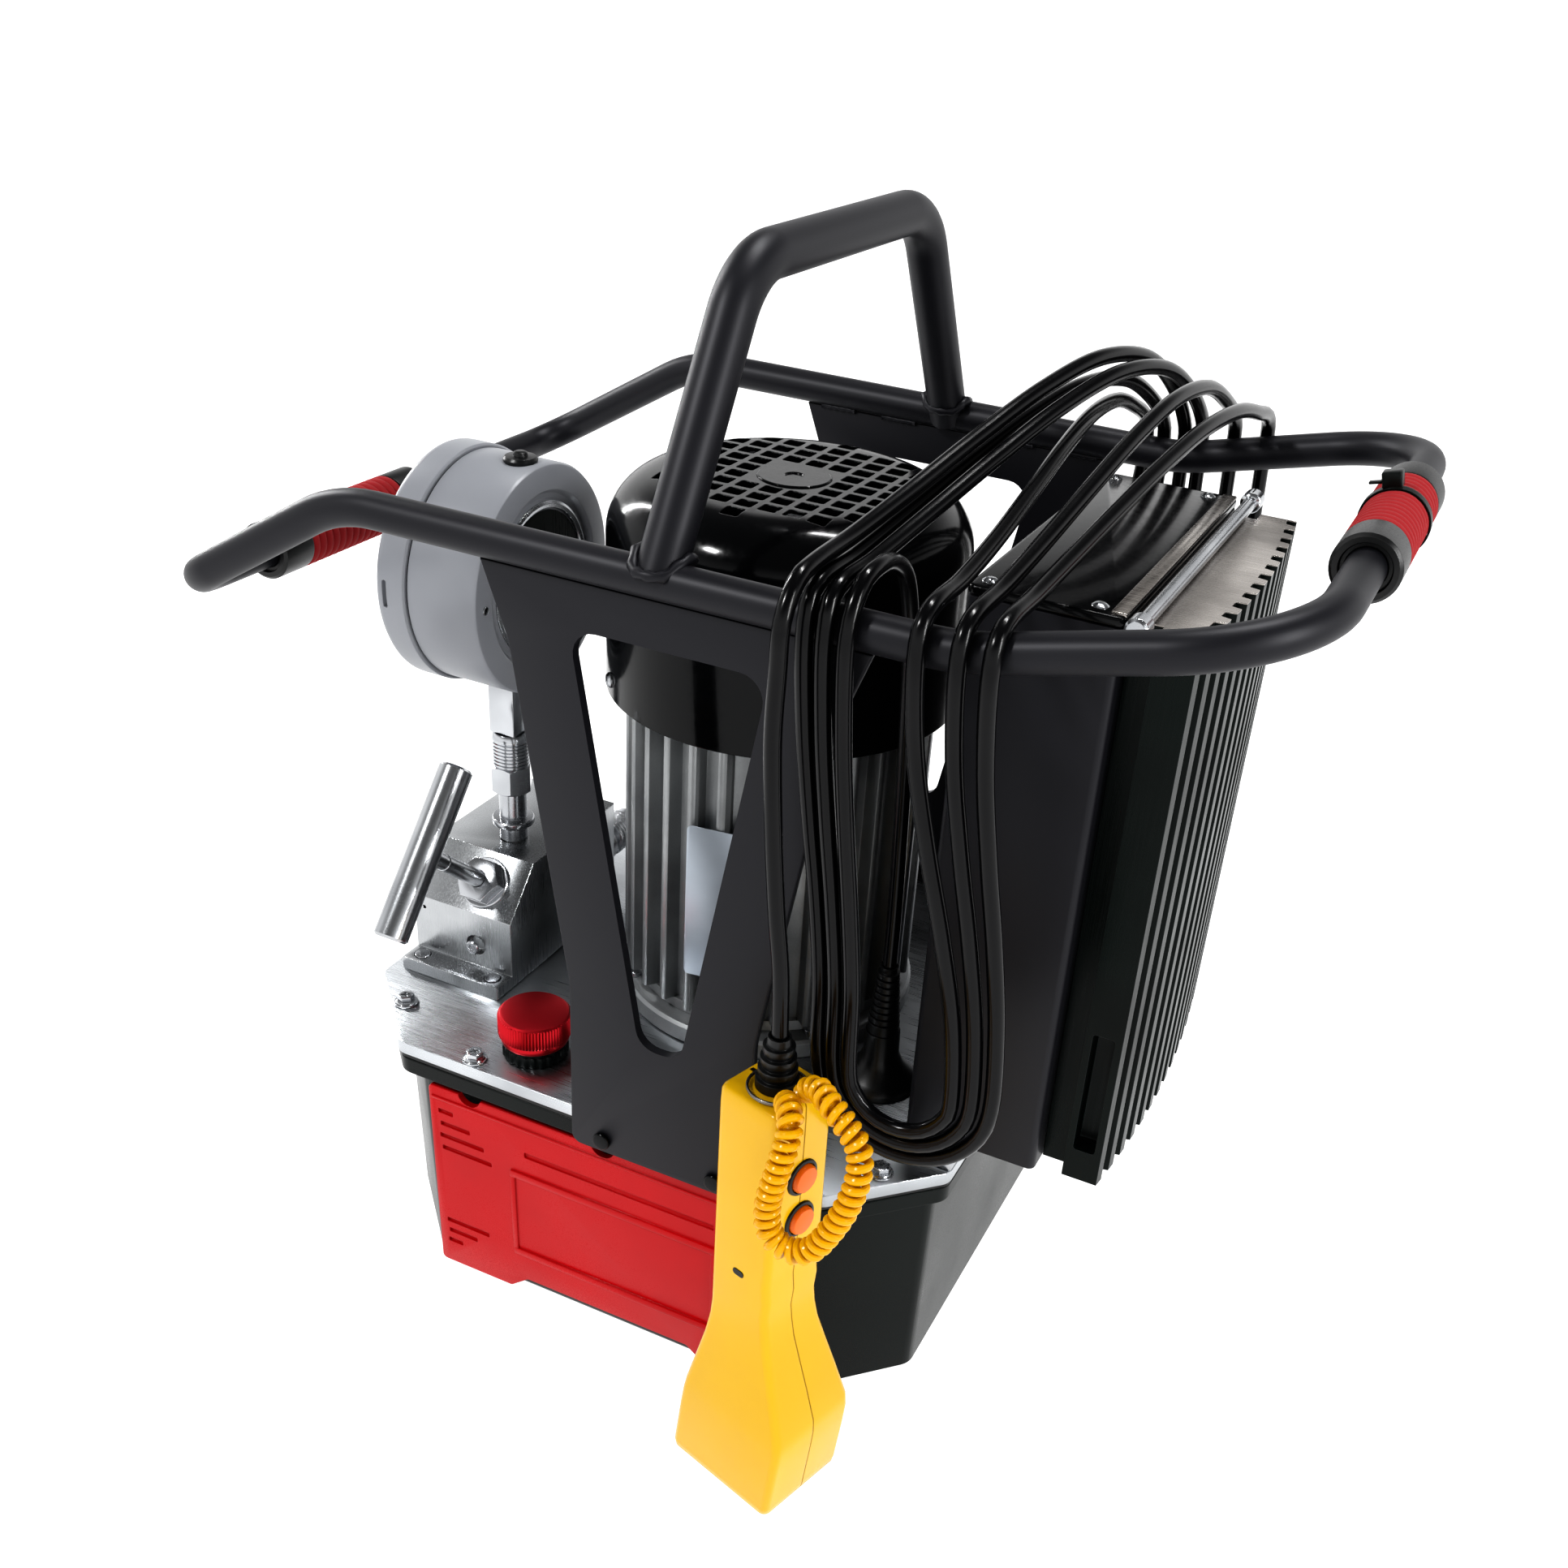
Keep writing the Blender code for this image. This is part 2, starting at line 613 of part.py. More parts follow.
def build_gauge(grey, black, white, glass, steel):
    """Solid-front pressure gauge on a square socket, with its swivel nut and nipple."""
    centre = (GAUGE_X, GAUGE_Y)
    nipple_top = BLOCK_TOP_Z + GAP + NIPPLE_HEIGHT
    lathe("gauge_nipple", disc_profile(NIPPLE_RADIUS, BLOCK_TOP_Z + GAP, nipple_top), steel, (*centre, 0),
          sides=20)
    nut = lathe("gauge_nut", disc_profile(NUT_ACROSS / math.sqrt(3), nipple_top + GAP,
                                          nipple_top + NUT_HEIGHT, 0.002),
                steel, (*centre, 0), sides=24)
    combine(nut, prism("nut_hexagon", circle(NUT_ACROSS / math.sqrt(3), 6, centre), 0, 1, None), "INTERSECT")
    half = SOCKET_SIDE / 2
    socket = box("gauge_socket", (centre[0] - half, centre[1] - half, nipple_top + NUT_HEIGHT + GAP),
                 (centre[0] + half, centre[1] + half, GAUGE_Z), steel)
    axis_place = (0, GAUGE_Y, GAUGE_Z)
    toward_face = (-1, 0, 0)
    around_case = lathe("socket_cutter", disc_profile(GAUGE_CASE_RADIUS + GAP, 0, 1), None, axis_place,
                        toward_face, 48)
    cut(socket, around_case)

    seam = -GAUGE_SEAM_X
    face = -GAUGE_FRONT_X
    back = -GAUGE_BACK_X
    inner = GAUGE_CASE_RADIUS - GAUGE_WALL
    recess = GAUGE_CASE_RADIUS - 0.009
    case_profile = [
        (0, back + 0.008), (recess, back + 0.008), (recess, back + 0.001), (GAUGE_CASE_RADIUS - 0.003, back),
        (GAUGE_CASE_RADIUS, back + 0.003), (GAUGE_CASE_RADIUS, seam), (inner, seam), (inner, back + 0.012),
        (0, back + 0.012),
    ]
    lathe("gauge_case", case_profile, grey, axis_place, toward_face, 48)
    dial_low = seam - 0.008
    lathe("gauge_dial", ring_profile(0.002, inner - GAP, dial_low, dial_low + 0.001), white, axis_place,
          toward_face, 40)
    lens_low = face - 0.007
    sight = GAUGE_RING_RADIUS - 0.012
    ring = [
        (inner, seam + GAP), (GAUGE_RING_RADIUS, seam + GAP), (GAUGE_RING_RADIUS, face - 0.003),
        (GAUGE_RING_RADIUS - 0.003, face), (sight, face), (sight, lens_low + 0.0035), (inner,
                                                                                       lens_low + 0.0035),
    ]
    lathe("gauge_ring", ring, grey, axis_place, toward_face, 48)
    lathe("gauge_lens", disc_profile(inner - GAP, lens_low, lens_low + 0.003), glass, axis_place,
          toward_face, 40)

    hub_low = dial_low + 0.001 + GAP
    hub = pivot("pointer_axis", (-hub_low, GAUGE_Y, GAUGE_Z), toward_face)
    needle = prism("gauge_pointer", [(-0.0025, -0.016), (0.0025, -0.016), (0.0008, 0.046), (-0.0008, 0.046)],
                   0.001, 0.002, black)
    combine(needle, lathe("pointer_boss", disc_profile(0.005, 0, 0.003), black, sides=16), "UNION")
    bpy.data.objects["pointer_boss"].parent = hub
    needle.parent = hub
    zero_turn = math.radians(135)
    needle.data.transform(Matrix.Rotation(zero_turn, 4, "Z"))


def finned_outline():
    """Outline of the motor housing: parallel-sided fins around a round wall."""
    half_fin = 0.0017
    points = []
    for fin in range(MOTOR_FIN_COUNT):
        middle = FULL_TURN * fin / MOTOR_FIN_COUNT
        foot = half_fin / MOTOR_ROOT_RADIUS
        tip = half_fin / MOTOR_FIN_RADIUS
        for radius, angle in ((MOTOR_ROOT_RADIUS, -foot), (MOTOR_FIN_RADIUS, -tip), (MOTOR_FIN_RADIUS,
                                                                                     tip),
                                                                                     (MOTOR_ROOT_RADIUS,
                                                                                      foot)):
            points.append((MOTOR_X + radius * math.cos(middle + angle), radius * math.sin(middle + angle)))
    return points


def build_motor(black, aluminium, iron, steel, plastic):
    """Vertical motor: flange, finned housing, stator, rotor on its shaft, bearings, fan and fan cowl."""
    spot = (MOTOR_X, 0, 0)
    flange_top = ON_PLATE + MOTOR_FLANGE_HEIGHT
    bearing_height = 0.010
    flange = lathe("motor_flange", ring_profile(BEARING_RADIUS + GAP, MOTOR_FLANGE_RADIUS, ON_PLATE,
                                                flange_top),
                   aluminium, spot, sides=48)
    housing = prism("motor_housing", finned_outline(), flange_top + GAP, MOTOR_TOP_Z, aluminium)
    cut(housing, prism("housing_bore", circle(MOTOR_BORE, 40, (MOTOR_X, 0)), 0, 1, None))
    lathe("motor_stator", ring_profile(STATOR_BORE, MOTOR_BORE - 2 * GAP, ROTOR_LOW, ROTOR_HIGH), iron,
          spot, sides=40)
    lathe("motor_end_shield", ring_profile(BEARING_RADIUS + GAP, MOTOR_ROOT_RADIUS, SHIELD_LOW, SHIELD_HIGH),
          aluminium, spot, sides=40)
    for name, low in (("lower", ON_PLATE + 0.002), ("upper", SHIELD_LOW + 0.001)):
        lathe(f"bearing_{name}", ring_profile(SHAFT_RADIUS + GAP, BEARING_RADIUS, low, low + bearing_height),
              steel, spot, sides=24)

    shaft = [
        (0, PLATE_LOW - 0.016), (SHAFT_RADIUS, PLATE_LOW - 0.016), (SHAFT_RADIUS, ROTOR_LOW),
        (ROTOR_RADIUS, ROTOR_LOW),
        (ROTOR_RADIUS, ROTOR_HIGH), (SHAFT_RADIUS, ROTOR_HIGH), (SHAFT_RADIUS, SHAFT_TOP), (0, SHAFT_TOP),
    ]
    lathe("motor_rotor", shaft, steel, spot, sides=32)
    fan = lathe("motor_fan", ring_profile(SHAFT_RADIUS + GAP, FAN_HUB_RADIUS, FAN_LOW, FAN_LOW + FAN_HEIGHT),
                plastic, spot, sides=32)
    disc = lathe("fan_disc", ring_profile(FAN_HUB_RADIUS - 0.002, FAN_RADIUS, FAN_LOW, FAN_LOW + 0.002),
                 None, spot, sides=32)
    combine(fan, disc, "UNION")
    for blade in range(FAN_BLADES):
        vane = box(f"fan_blade_{blade}", (FAN_HUB_RADIUS - 0.002, -0.001, FAN_LOW + 0.001),
                   (FAN_RADIUS - 0.002, 0.001, FAN_LOW + FAN_HEIGHT - 0.004), None)
        vane.location = spot
        vane.rotation_euler.z = FULL_TURN * (blade + 0.5) / FAN_BLADES
        combine(fan, vane, "UNION")
    build_cowl(black)


def build_cowl(black):
    """Fan cowl with a rounded shoulder, a shaft hole and a square grid of air openings."""
    arc = [math.radians(90 * step / 5) for step in range(6)]
    outer = [
        (COWL_RADIUS - COWL_SHOULDER + COWL_SHOULDER * math.cos(a),
         COWL_TOP - COWL_SHOULDER + COWL_SHOULDER * math.sin(a))
        for a in arc
    ]
    inner_shoulder = COWL_SHOULDER - COWL_WALL
    inner = [
        (COWL_RADIUS - COWL_SHOULDER + inner_shoulder * math.cos(a),
         COWL_TOP - COWL_SHOULDER + inner_shoulder * math.sin(a))
        for a in reversed(arc)
    ]
    hub_hole = 0.006
    profile = [(COWL_RADIUS, COWL_LOW), *outer, (hub_hole, COWL_TOP), (hub_hole, COWL_TOP - COWL_WALL),
               *inner,
               (COWL_RADIUS - COWL_WALL, COWL_LOW)]
    cowl = lathe("fan_cowl", profile, black, (MOTOR_X, 0, 0), sides=40)
    openings = bmesh.new()
    reach = COWL_RADIUS - COWL_SHOULDER - 0.004
    cells = int(reach / GRILLE_PITCH) + 1
    for column in range(-cells, cells + 1):
        for row in range(-cells, cells + 1):
            x = column * GRILLE_PITCH
            y = row * GRILLE_PITCH
            far = math.hypot(abs(x) + GRILLE_PITCH / 2, abs(y) + GRILLE_PITCH / 2)
            if far < reach and (column, row) != (0, 0):
                side = GRILLE_PITCH - GRILLE_BAR
                place = Matrix.Translation((MOTOR_X + x, y, COWL_TOP)) @ Matrix.Diagonal((side, side,
                                                                                          0.012, 1))
                bmesh.ops.create_cube(openings, size=1.0, matrix=place)
    cut(cowl, finish("grille_cutter", openings, None))


def build_pump(iron, steel):
    """Pump unit under the top plate, with its suction strainer."""
    top = PLATE_LOW - GAP
    profile = [
        (SHAFT_RADIUS + 0.002, top), (SHAFT_RADIUS + 0.002, top - 0.018), (0, top - 0.018), (0,
                                                                                             top - PUMP_HEIGHT),
        (PUMP_RADIUS, top - PUMP_HEIGHT), (PUMP_RADIUS, top),
    ]
    lathe("pump_unit", profile, iron, (MOTOR_X, 0, 0), sides=32)
    low = top - PUMP_HEIGHT - GAP
    lathe("suction_strainer", disc_profile(STRAINER_RADIUS, low - STRAINER_HEIGHT, low), steel, (MOTOR_X,
                                                                                                 0, 0),
                                                                                                 sides=24)


def gusset_outline():
    """Outline of a gusset: wide under the rail, tapering to a straight foot."""
    top = RAIL_Z - RAIL_RADIUS - GAP
    half = [
        (GUSSET_WAIST_HALF, GUSSET_LOW), (GUSSET_WAIST_HALF, GUSSET_WAIST_Z), (GUSSET_SHOULDER_HALF,
                                                                               GUSSET_SHOULDER_Z),
        (GUSSET_TOP_HALF, top),
    ]
    outline = half + [(-x, z) for x, z in reversed(half)]
    return [(GUSSET_X + x, z) for x, z in outline]


def build_frame(paint):
    """Carry frame: closed handlebar loop, arch handle and the front and rear gussets."""
    loop = [
        (LEFT_BEND_X, -RAIL_Y, RAIL_Z), (RIGHT_BEND_X, -RAIL_Y, RAIL_Z), (RIGHT_END_X, -RAIL_Y, RIGHT_END_Z),
        (RIGHT_END_X, RAIL_Y, RIGHT_END_Z), (RIGHT_BEND_X, RAIL_Y, RAIL_Z), (LEFT_BEND_X, RAIL_Y, RAIL_Z),
        (LEFT_END_X, RAIL_Y, LEFT_END_Z), (LEFT_END_X, -RAIL_Y, LEFT_END_Z),
    ]
    radii = [0.075, 0.120, 0.058, 0.058, 0.120, 0.075, 0.030, 0.030]
    tube("rail_loop", bent_path(loop, radii, True), RAIL_RADIUS, paint, True)
    foot_z = RAIL_Z
    arch = [(0, -RAIL_Y, foot_z), (0, -ARCH_TOP_HALF, ARCH_TOP_Z), (0, ARCH_TOP_HALF, ARCH_TOP_Z), (0,
                                                                                                    RAIL_Y,
                                                                                                    foot_z)]
    handle = tube("arch_handle", bent_path(arch, [0, 0.042, 0.042, 0]), ARCH_RADIUS, paint)
    for name, side in (("front", -1), ("rear", 1)):
        saddle = lathe(f"arch_saddle_{name}", disc_profile(RAIL_RADIUS + GAP, -0.05, 0.05), None,
                       (0, side * RAIL_Y, RAIL_Z), (1, 0, 0), 24)
        under = box(f"arch_trim_{name}", (-0.05, side * RAIL_Y - 0.03, RAIL_Z - 0.04),
                    (0.05, side * RAIL_Y + 0.03, RAIL_Z), None)
        cut(handle, saddle, under)
        plane = side * (PLATE_DEPTH / 2 + GAP + GUSSET_THICKNESS / 2)
        gusset = prism(f"gusset_{name}", rounded(gusset_outline(), 0.012, 3), plane - GUSSET_THICKNESS / 2,
                       plane + GUSSET_THICKNESS / 2, paint, "Y")
        cutout = [
            (GUSSET_X + CUTOUT_LOW_HALF, CUTOUT_LOW), (GUSSET_X + CUTOUT_TOP_HALF, CUTOUT_HIGH),
            (GUSSET_X - CUTOUT_TOP_HALF, CUTOUT_HIGH), (GUSSET_X - CUTOUT_LOW_HALF, CUTOUT_LOW),
        ]
        cut(gusset, prism(f"gusset_cutout_{name}", rounded(cutout, 0.012, 3), plane - 0.01, plane + 0.01,
                          None, "Y"))


def build_grips(red):
    """Grips around the two end bars of the loop."""
    places = {"left": (LEFT_END_X, LEFT_GRIP_Y, LEFT_END_Z), "right": (RIGHT_END_X, 0, RIGHT_END_Z)}
    for name, place in places.items():
        half = GRIP_LENGTH / 2
        edge = 0.002
        profile = [
            (RAIL_RADIUS + GAP, -half), (GRIP_RADIUS - edge, -half), (GRIP_RADIUS, -half + edge),
            (GRIP_RADIUS, half - edge), (GRIP_RADIUS - edge, half), (RAIL_RADIUS + GAP, half),
        ]
        lathe(f"grip_{name}", profile, red, place, (0, 1, 0), 24)


def build_box(black, plastic, steel):
    """Electrical box on the right of the plate, its lid, run capacitor and foot."""
    low, high = BOX_X
    body = box("electrical_box", (low, -BOX_HALF_DEPTH, BOX_LOW), (high, BOX_HALF_DEPTH, BOX_TOP), black)
    cut(body, box("box_cavity", (low + BOX_WALL, -BOX_HALF_DEPTH + BOX_WALL, BOX_LOW + BOX_WALL),
                  (high - BOX_WALL, BOX_HALF_DEPTH - BOX_WALL, BOX_TOP + 0.01), None))
    box("box_lid", (low, -BOX_HALF_DEPTH, BOX_TOP + GAP), (high, BOX_HALF_DEPTH, BOX_TOP + LID_THICKNESS),
        black)
    middle = (low + high) / 2
    lathe("run_capacitor", disc_profile(0.020, 0, 0.085, 0.002), plastic, (middle, 0.05,
                                                                           BOX_LOW + BOX_WALL + GAP),
                                                                           sides=24)
    box("box_foot", (low + 0.002, -PLATE_DEPTH / 2 + PLATE_CHAMFER, ON_PLATE),
        (PLATE_RIGHT, PLATE_DEPTH / 2 - PLATE_CHAMFER, BOX_LOW - GAP), steel)


def sink_outline(outward):
    """Plan outline of the heat sink, from its flat back to its bulging face, moved out by a distance."""
    face_x = SINK_X + SINK_SIDE
    points = [(SINK_X - outward, SINK_HALF_DEPTH + outward), (SINK_X - outward, -SINK_HALF_DEPTH - outward)]
    steps = 12
    for step in range(steps + 1):
        share = step / steps * 2 - 1
        points.append((face_x + SINK_BULGE * (1 - share**2) + outward, (SINK_HALF_DEPTH + outward) * share))
    return points


def build_heat_sink(black, steel):
    """Finned heat sink with its air duct and side window, spacer, clamp rod."""
    sink = prism("heat_sink", sink_outline(0), BOX_LOW, BOX_TOP, black)
    for fin in range(SINK_FIN_COUNT):
        share = (fin + 0.5) / SINK_FIN_COUNT * 2 - 1
        y = SINK_HALF_DEPTH * share
        root = SINK_X + SINK_SIDE + SINK_BULGE * (1 - share**2)
        rib = box(f"sink_fin_{fin}", (root - 0.003, y - 0.0012, BOX_LOW + 0.0005), (root + SINK_FIN,
                                                                                    y + 0.0012,
                                                                                    BOX_TOP - 0.0005), None)
        combine(sink, rib, "UNION")
    duct = prism("sink_duct", sink_outline(-SINK_WALL), BOX_LOW - 0.01, BOX_TOP - SINK_WALL, None)
    inset = 0.004
    window = box("sink_window", (SINK_X + inset, -SINK_HALF_DEPTH - 0.01, SINK_WINDOW[0]),
                 (SINK_X + SINK_SIDE - inset, -SINK_HALF_DEPTH + 0.01, SINK_WINDOW[1]), None)
    cut(sink, duct, window)
    neck = box("sink_neck", (BOX_X[1] + GAP, -SPACER_HALF_DEPTH, BOX_LOW + 0.004),
               (SINK_X + SINK_WALL / 2, SPACER_HALF_DEPTH, BOX_TOP), None)
    combine(sink, neck, "UNION")
    rod_x = (BOX_X[1] + SINK_X) / 2
    end = BOX_HALF_DEPTH + 0.008
    shoulder = BOX_HALF_DEPTH - 0.003
    profile = [
        (0, -end), (KNOB_RADIUS, -end), (KNOB_RADIUS, -shoulder), (ROD_RADIUS, -shoulder),
        (ROD_RADIUS, shoulder), (KNOB_RADIUS, shoulder), (KNOB_RADIUS, end), (0, end),
    ]
    rod_z = BOX_TOP + ROD_RADIUS + GAP
    lathe("clamp_rod", profile, steel, (rod_x, 0, rod_z), (0, 1, 0), 20)


def build_cord(rubber):
    """Cable gland and boot, the draped hank and the two free stretches of the control cord."""
    dome = [(GLAND_RADIUS * math.cos(a),
             0.014 + 0.024 * math.sin(a)) for a in [math.radians(15 * s) for s in range(5)]]
    lathe("cable_gland", [(0, 0), (GLAND_RADIUS, 0), *dome, (0, dome[-1][1])], rubber, (GLAND_X, GLAND_Y,
                                                                                        ON_PLATE), sides=28)
    boot_low = ON_PLATE + dome[-1][1] + GAP
    lathe("gland_boot", disc_profile(BOOT_RADIUS, boot_low, BOOT_TOP), rubber, (GLAND_X, GLAND_Y, 0),
          sides=20)

    front = -HANK_FRONT_Y
    x_low, x_high = HANK_X
    top = HANK_TOP_LOW - GAP
    step_z = PENDANT_BOOT_TOP + 0.004
    hank = [(x_low, top), (x_low, step_z), (HANK_STEP_X, step_z), (HANK_STEP_X, HANK_FRONT_LOW),
            (x_high, HANK_FRONT_LOW), (x_high, top)]
    prism("cord_hank_front", rounded(hank, 0.012, 3), front - HANK_THICKNESS, front, rubber, "Y")
    prism("cord_hank_rear", rounded(rectangle(x_low + 0.020, x_high + 0.026, HANK_REAR_LOW, top), 0.040, 4),
          -front, HANK_THICKNESS - front, rubber, "Y")
    under = [(front - HANK_THICKNESS, HANK_TOP_LOW), (0.0, HANK_TOP_LOW + 0.006), (HANK_THICKNESS - front,
                                                                                   HANK_TOP_LOW)]
    over = [(HANK_THICKNESS - front - 0.006, HANK_TOP_LOW + 0.034), (0.120, HANK_TOP_LOW + 0.058),
            (0.0, HANK_TOP_LOW + 0.048), (-0.100, HANK_TOP_LOW + 0.048), (front - 0.004,
                                                                          HANK_TOP_LOW + 0.026)]
    crown = prism("cord_hank_top", rounded(under + over, 0.016, 3), x_low + 0.004, x_high + 0.026, rubber,
                  "X")
    cut(crown, box("rising_rail_cutter", (RIGHT_BEND_X - 0.010, -0.3, 0.4), (0.3, 0.3,
                                                                             HANK_TOP_LOW + 0.014), None))

    tube("cord_gland_end", smooth_path(GLAND_ROUTE, 2.5 * CORD_DIAMETER), CORD_DIAMETER / 2, rubber,
         resolution=2, as_mesh=False)
    tube("cord_pendant_end", smooth_path(PENDANT_ROUTE, 2.5 * CORD_DIAMETER), CORD_DIAMETER / 2, rubber,
         resolution=2, as_mesh=False)


# The cord leaves the gland's boot straight up and joins the hank above the front rail
GLAND_ROUTE = [
    (GLAND_X, GLAND_Y, BOOT_TOP + GAP), (GLAND_X, GLAND_Y - 0.0005, BOOT_TOP + 0.030),
    (GLAND_X, GLAND_Y - 0.003, BOOT_TOP + 0.070), (GLAND_X + 0.001, GLAND_Y - 0.010, RAIL_Z - 0.113),
    (GLAND_X + 0.0035, 0.0858 - RAIL_Y, RAIL_Z - 0.063), (GLAND_X + 0.0075, 0.0698 - RAIL_Y, RAIL_Z - 0.023),
    (GLAND_X + 0.011, 0.0498 - RAIL_Y, RAIL_Z + 0.0075),
]
# It leaves the hank's end over the front rail and hangs down to the pendant's boot
PENDANT_ROUTE = [
    (PENDANT_X - 0.0125, PENDANT_Y + 0.004, RAIL_Z + 0.008), (PENDANT_X - 0.0127, PENDANT_Y + 0.003,
                                                              RAIL_Z - 0.013),
    (PENDANT_X - 0.0125, PENDANT_Y + 0.0015, RAIL_Z - 0.043), (PENDANT_X - 0.0095, PENDANT_Y + 0.0005,
                                                               RAIL_Z - 0.083),
    (PENDANT_X - 0.0055, PENDANT_Y, PENDANT_BOOT_TOP + 0.066),
    (PENDANT_X - 0.0015, PENDANT_Y - 0.0002, PENDANT_BOOT_TOP + 0.034), (PENDANT_X, PENDANT_Y,
                                                                         PENDANT_BOOT_TOP + GAP),
]


def pendant_outline(back, front, half_v):
    """Rounded section of the pendant in its own frame, from its back to its button face."""
    return rounded(rectangle(-back, front, -half_v, half_v), 0.004, 2)


def build_pendant(yellow, orange, rubber):
    """Control pendant in two half shells with its boot, two push buttons and curly lanyard."""
    place = Matrix.Translation((PENDANT_X, PENDANT_Y, 0)) @ Matrix.Rotation(PENDANT_TURN, 4, "Z")
    half = PENDANT_HALF
    rim = half - 0.002
    sections = [
        # back, button face, half width, height
        (0.033, 0.033, 0.026, PENDANT_LOW), (0.035, 0.0355, 0.028, 0.009), (0.028, 0.0405, 0.0275, 0.059),
        (half + 0.001, 0.0265, 0.0215, 0.097), (half, half, half, 0.116), (half, half, half,
                                                                           PENDANT_HIGH - 0.002),
        (rim, rim, rim, PENDANT_HIGH),
    ]
    rings = [(pendant_outline(back, front, half_v), z) for back, front, half_v, z in sections]
    wall = 0.003
    for name, side in (("front", -1), ("back", 1)):
        shell = stack(f"pendant_shell_{name}", rings, yellow)
        keep_low = (-0.06, GAP / 2, -0.01) if side > 0 else (-0.06, -0.06, -0.01)
        keep_high = (0.06, 0.06, 0.3) if side > 0 else (0.06, -GAP / 2, 0.3)
        keep = box(f"pendant_half_{name}", keep_low, keep_high, None)
        reach = half - wall
        pocket = box(f"pendant_pocket_{name}", (-reach, -reach if side < 0 else -0.01, 0.118),
                     (reach, 0.01 if side < 0 else reach, PENDANT_HIGH - 0.010), None)
        keep.matrix_world = place
        pocket.matrix_world = place
        shell.matrix_world = place
        combine(shell, keep, "INTERSECT")
        cut(shell, pocket)
        for number, height in enumerate(BUTTON_Z):
            hole = lathe(f"button_hole_{name}_{number}", disc_profile(BUTTON_RADIUS + GAP, -0.004, 0.012),
                         None,
                         place @ Vector((half, 0, height)), place.to_3x3() @ Vector((1, 0, 0)), 20)
            cut(shell, hole)
    for name, height in zip(("advance", "retract"), BUTTON_Z):
        profile = [
            (0, -0.008), (BUTTON_RADIUS + 0.002, -0.008), (BUTTON_RADIUS + 0.002, -0.006), (BUTTON_RADIUS,
                                                                                            -0.006),
            (BUTTON_RADIUS, BUTTON_PROUD - 0.001), (BUTTON_RADIUS - 0.001, BUTTON_PROUD), (0, BUTTON_PROUD),
        ]
        lathe(f"button_{name}", profile, orange, place @ Vector((half, 0, height)),
              place.to_3x3() @ Vector((1, 0, 0)), 20)
    lathe("pendant_boot", disc_profile(0.0105, PENDANT_HIGH + GAP, PENDANT_BOOT_TOP), rubber,
          (PENDANT_X, PENDANT_Y, 0), sides=20)
    loop = [(PENDANT_X + x, PENDANT_Y + y, PENDANT_HIGH + z) for x, y, z in LANYARD_LOOP]
    tube("pendant_lanyard", smooth_path(loop, 0.014), LANYARD_RADIUS, yellow, resolution=2, as_mesh=False)


# The curly lanyard hangs in a loop beside the button face; its points are measured from the pendant's top
LANYARD_LOOP = [
    (0.0225, -0.0320, 0.0080), (0.0235, -0.0375, -0.0010), (0.0220, -0.0410, -0.0130),
    (0.0191, -0.0430, -0.0320), (0.0216, -0.0440, -0.0470), (0.0307, -0.0430, -0.0540),
    (0.0415, -0.0420, -0.0500), (0.0497, -0.0400, -0.0364), (0.0556, -0.0370, -0.0210),
    (0.0577, -0.0330, -0.0070), (0.0549, -0.0290, 0.0050), (0.0465, -0.0260, 0.0130),
    (0.0365, -0.0230, 0.0170),
]


def build():
    """Build the whole power pack."""
    clear_scene()
    aluminium = material("machined_aluminium", (0.62, 0.63, 0.64), 0.35, 1.0)
    black_paint = material("gloss_black_paint", (0.01, 0.01, 0.012), 0.25)
    black_plastic = material("black_plastic", (0.015, 0.016, 0.018), 0.4)
    rubber = material("black_rubber", (0.012, 0.012, 0.012), 0.5)
    red = material("red_plastic", (0.55, 0.01, 0.015), 0.35)
    red_metal = material("red_anodised", (0.45, 0.01, 0.02), 0.3, 1.0)
    grey = material("grey_plastic", (0.32, 0.33, 0.35), 0.4)
    steel = material("steel", (0.5, 0.5, 0.5), 0.35, 1.0)
    chrome = material("chrome", (0.7, 0.7, 0.7), 0.15, 1.0)
    iron = material("cast_iron", (0.1, 0.1, 0.1), 0.6, 0.8)
    white = material("dial_white", (0.85, 0.85, 0.82), 0.5)
    glass = material("clear_glass", (0.8, 0.85, 0.85), 0.05)
    yellow = material("yellow_plastic", (0.85, 0.42, 0.01), 0.3)
    orange = material("orange_plastic", (0.8, 0.15, 0.01), 0.35)

    build_tank(black_plastic, red, rubber)
    build_top_plate(aluminium, steel)
    build_filler(red_metal, black_plastic)
    build_valve_block(aluminium, steel, chrome)
    build_gauge(grey, black_plastic, white, glass, steel)
    build_motor(black_paint, aluminium, iron, steel, black_plastic)
    build_pump(iron, steel)
    build_frame(black_paint)
    build_grips(red)
    build_box(black_paint, black_plastic, steel)
    build_heat_sink(black_paint, black_paint)
    build_cord(rubber)
    build_pendant(yellow, orange, rubber)


build()
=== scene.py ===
"""Looks of a portable electric hydraulic power pack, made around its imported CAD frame."""
import logging
import math
from collections.abc import Iterable, Sequence
from dataclasses import dataclass, field
from enum import Enum

import bmesh
import bpy
from mathutils import Matrix, Vector


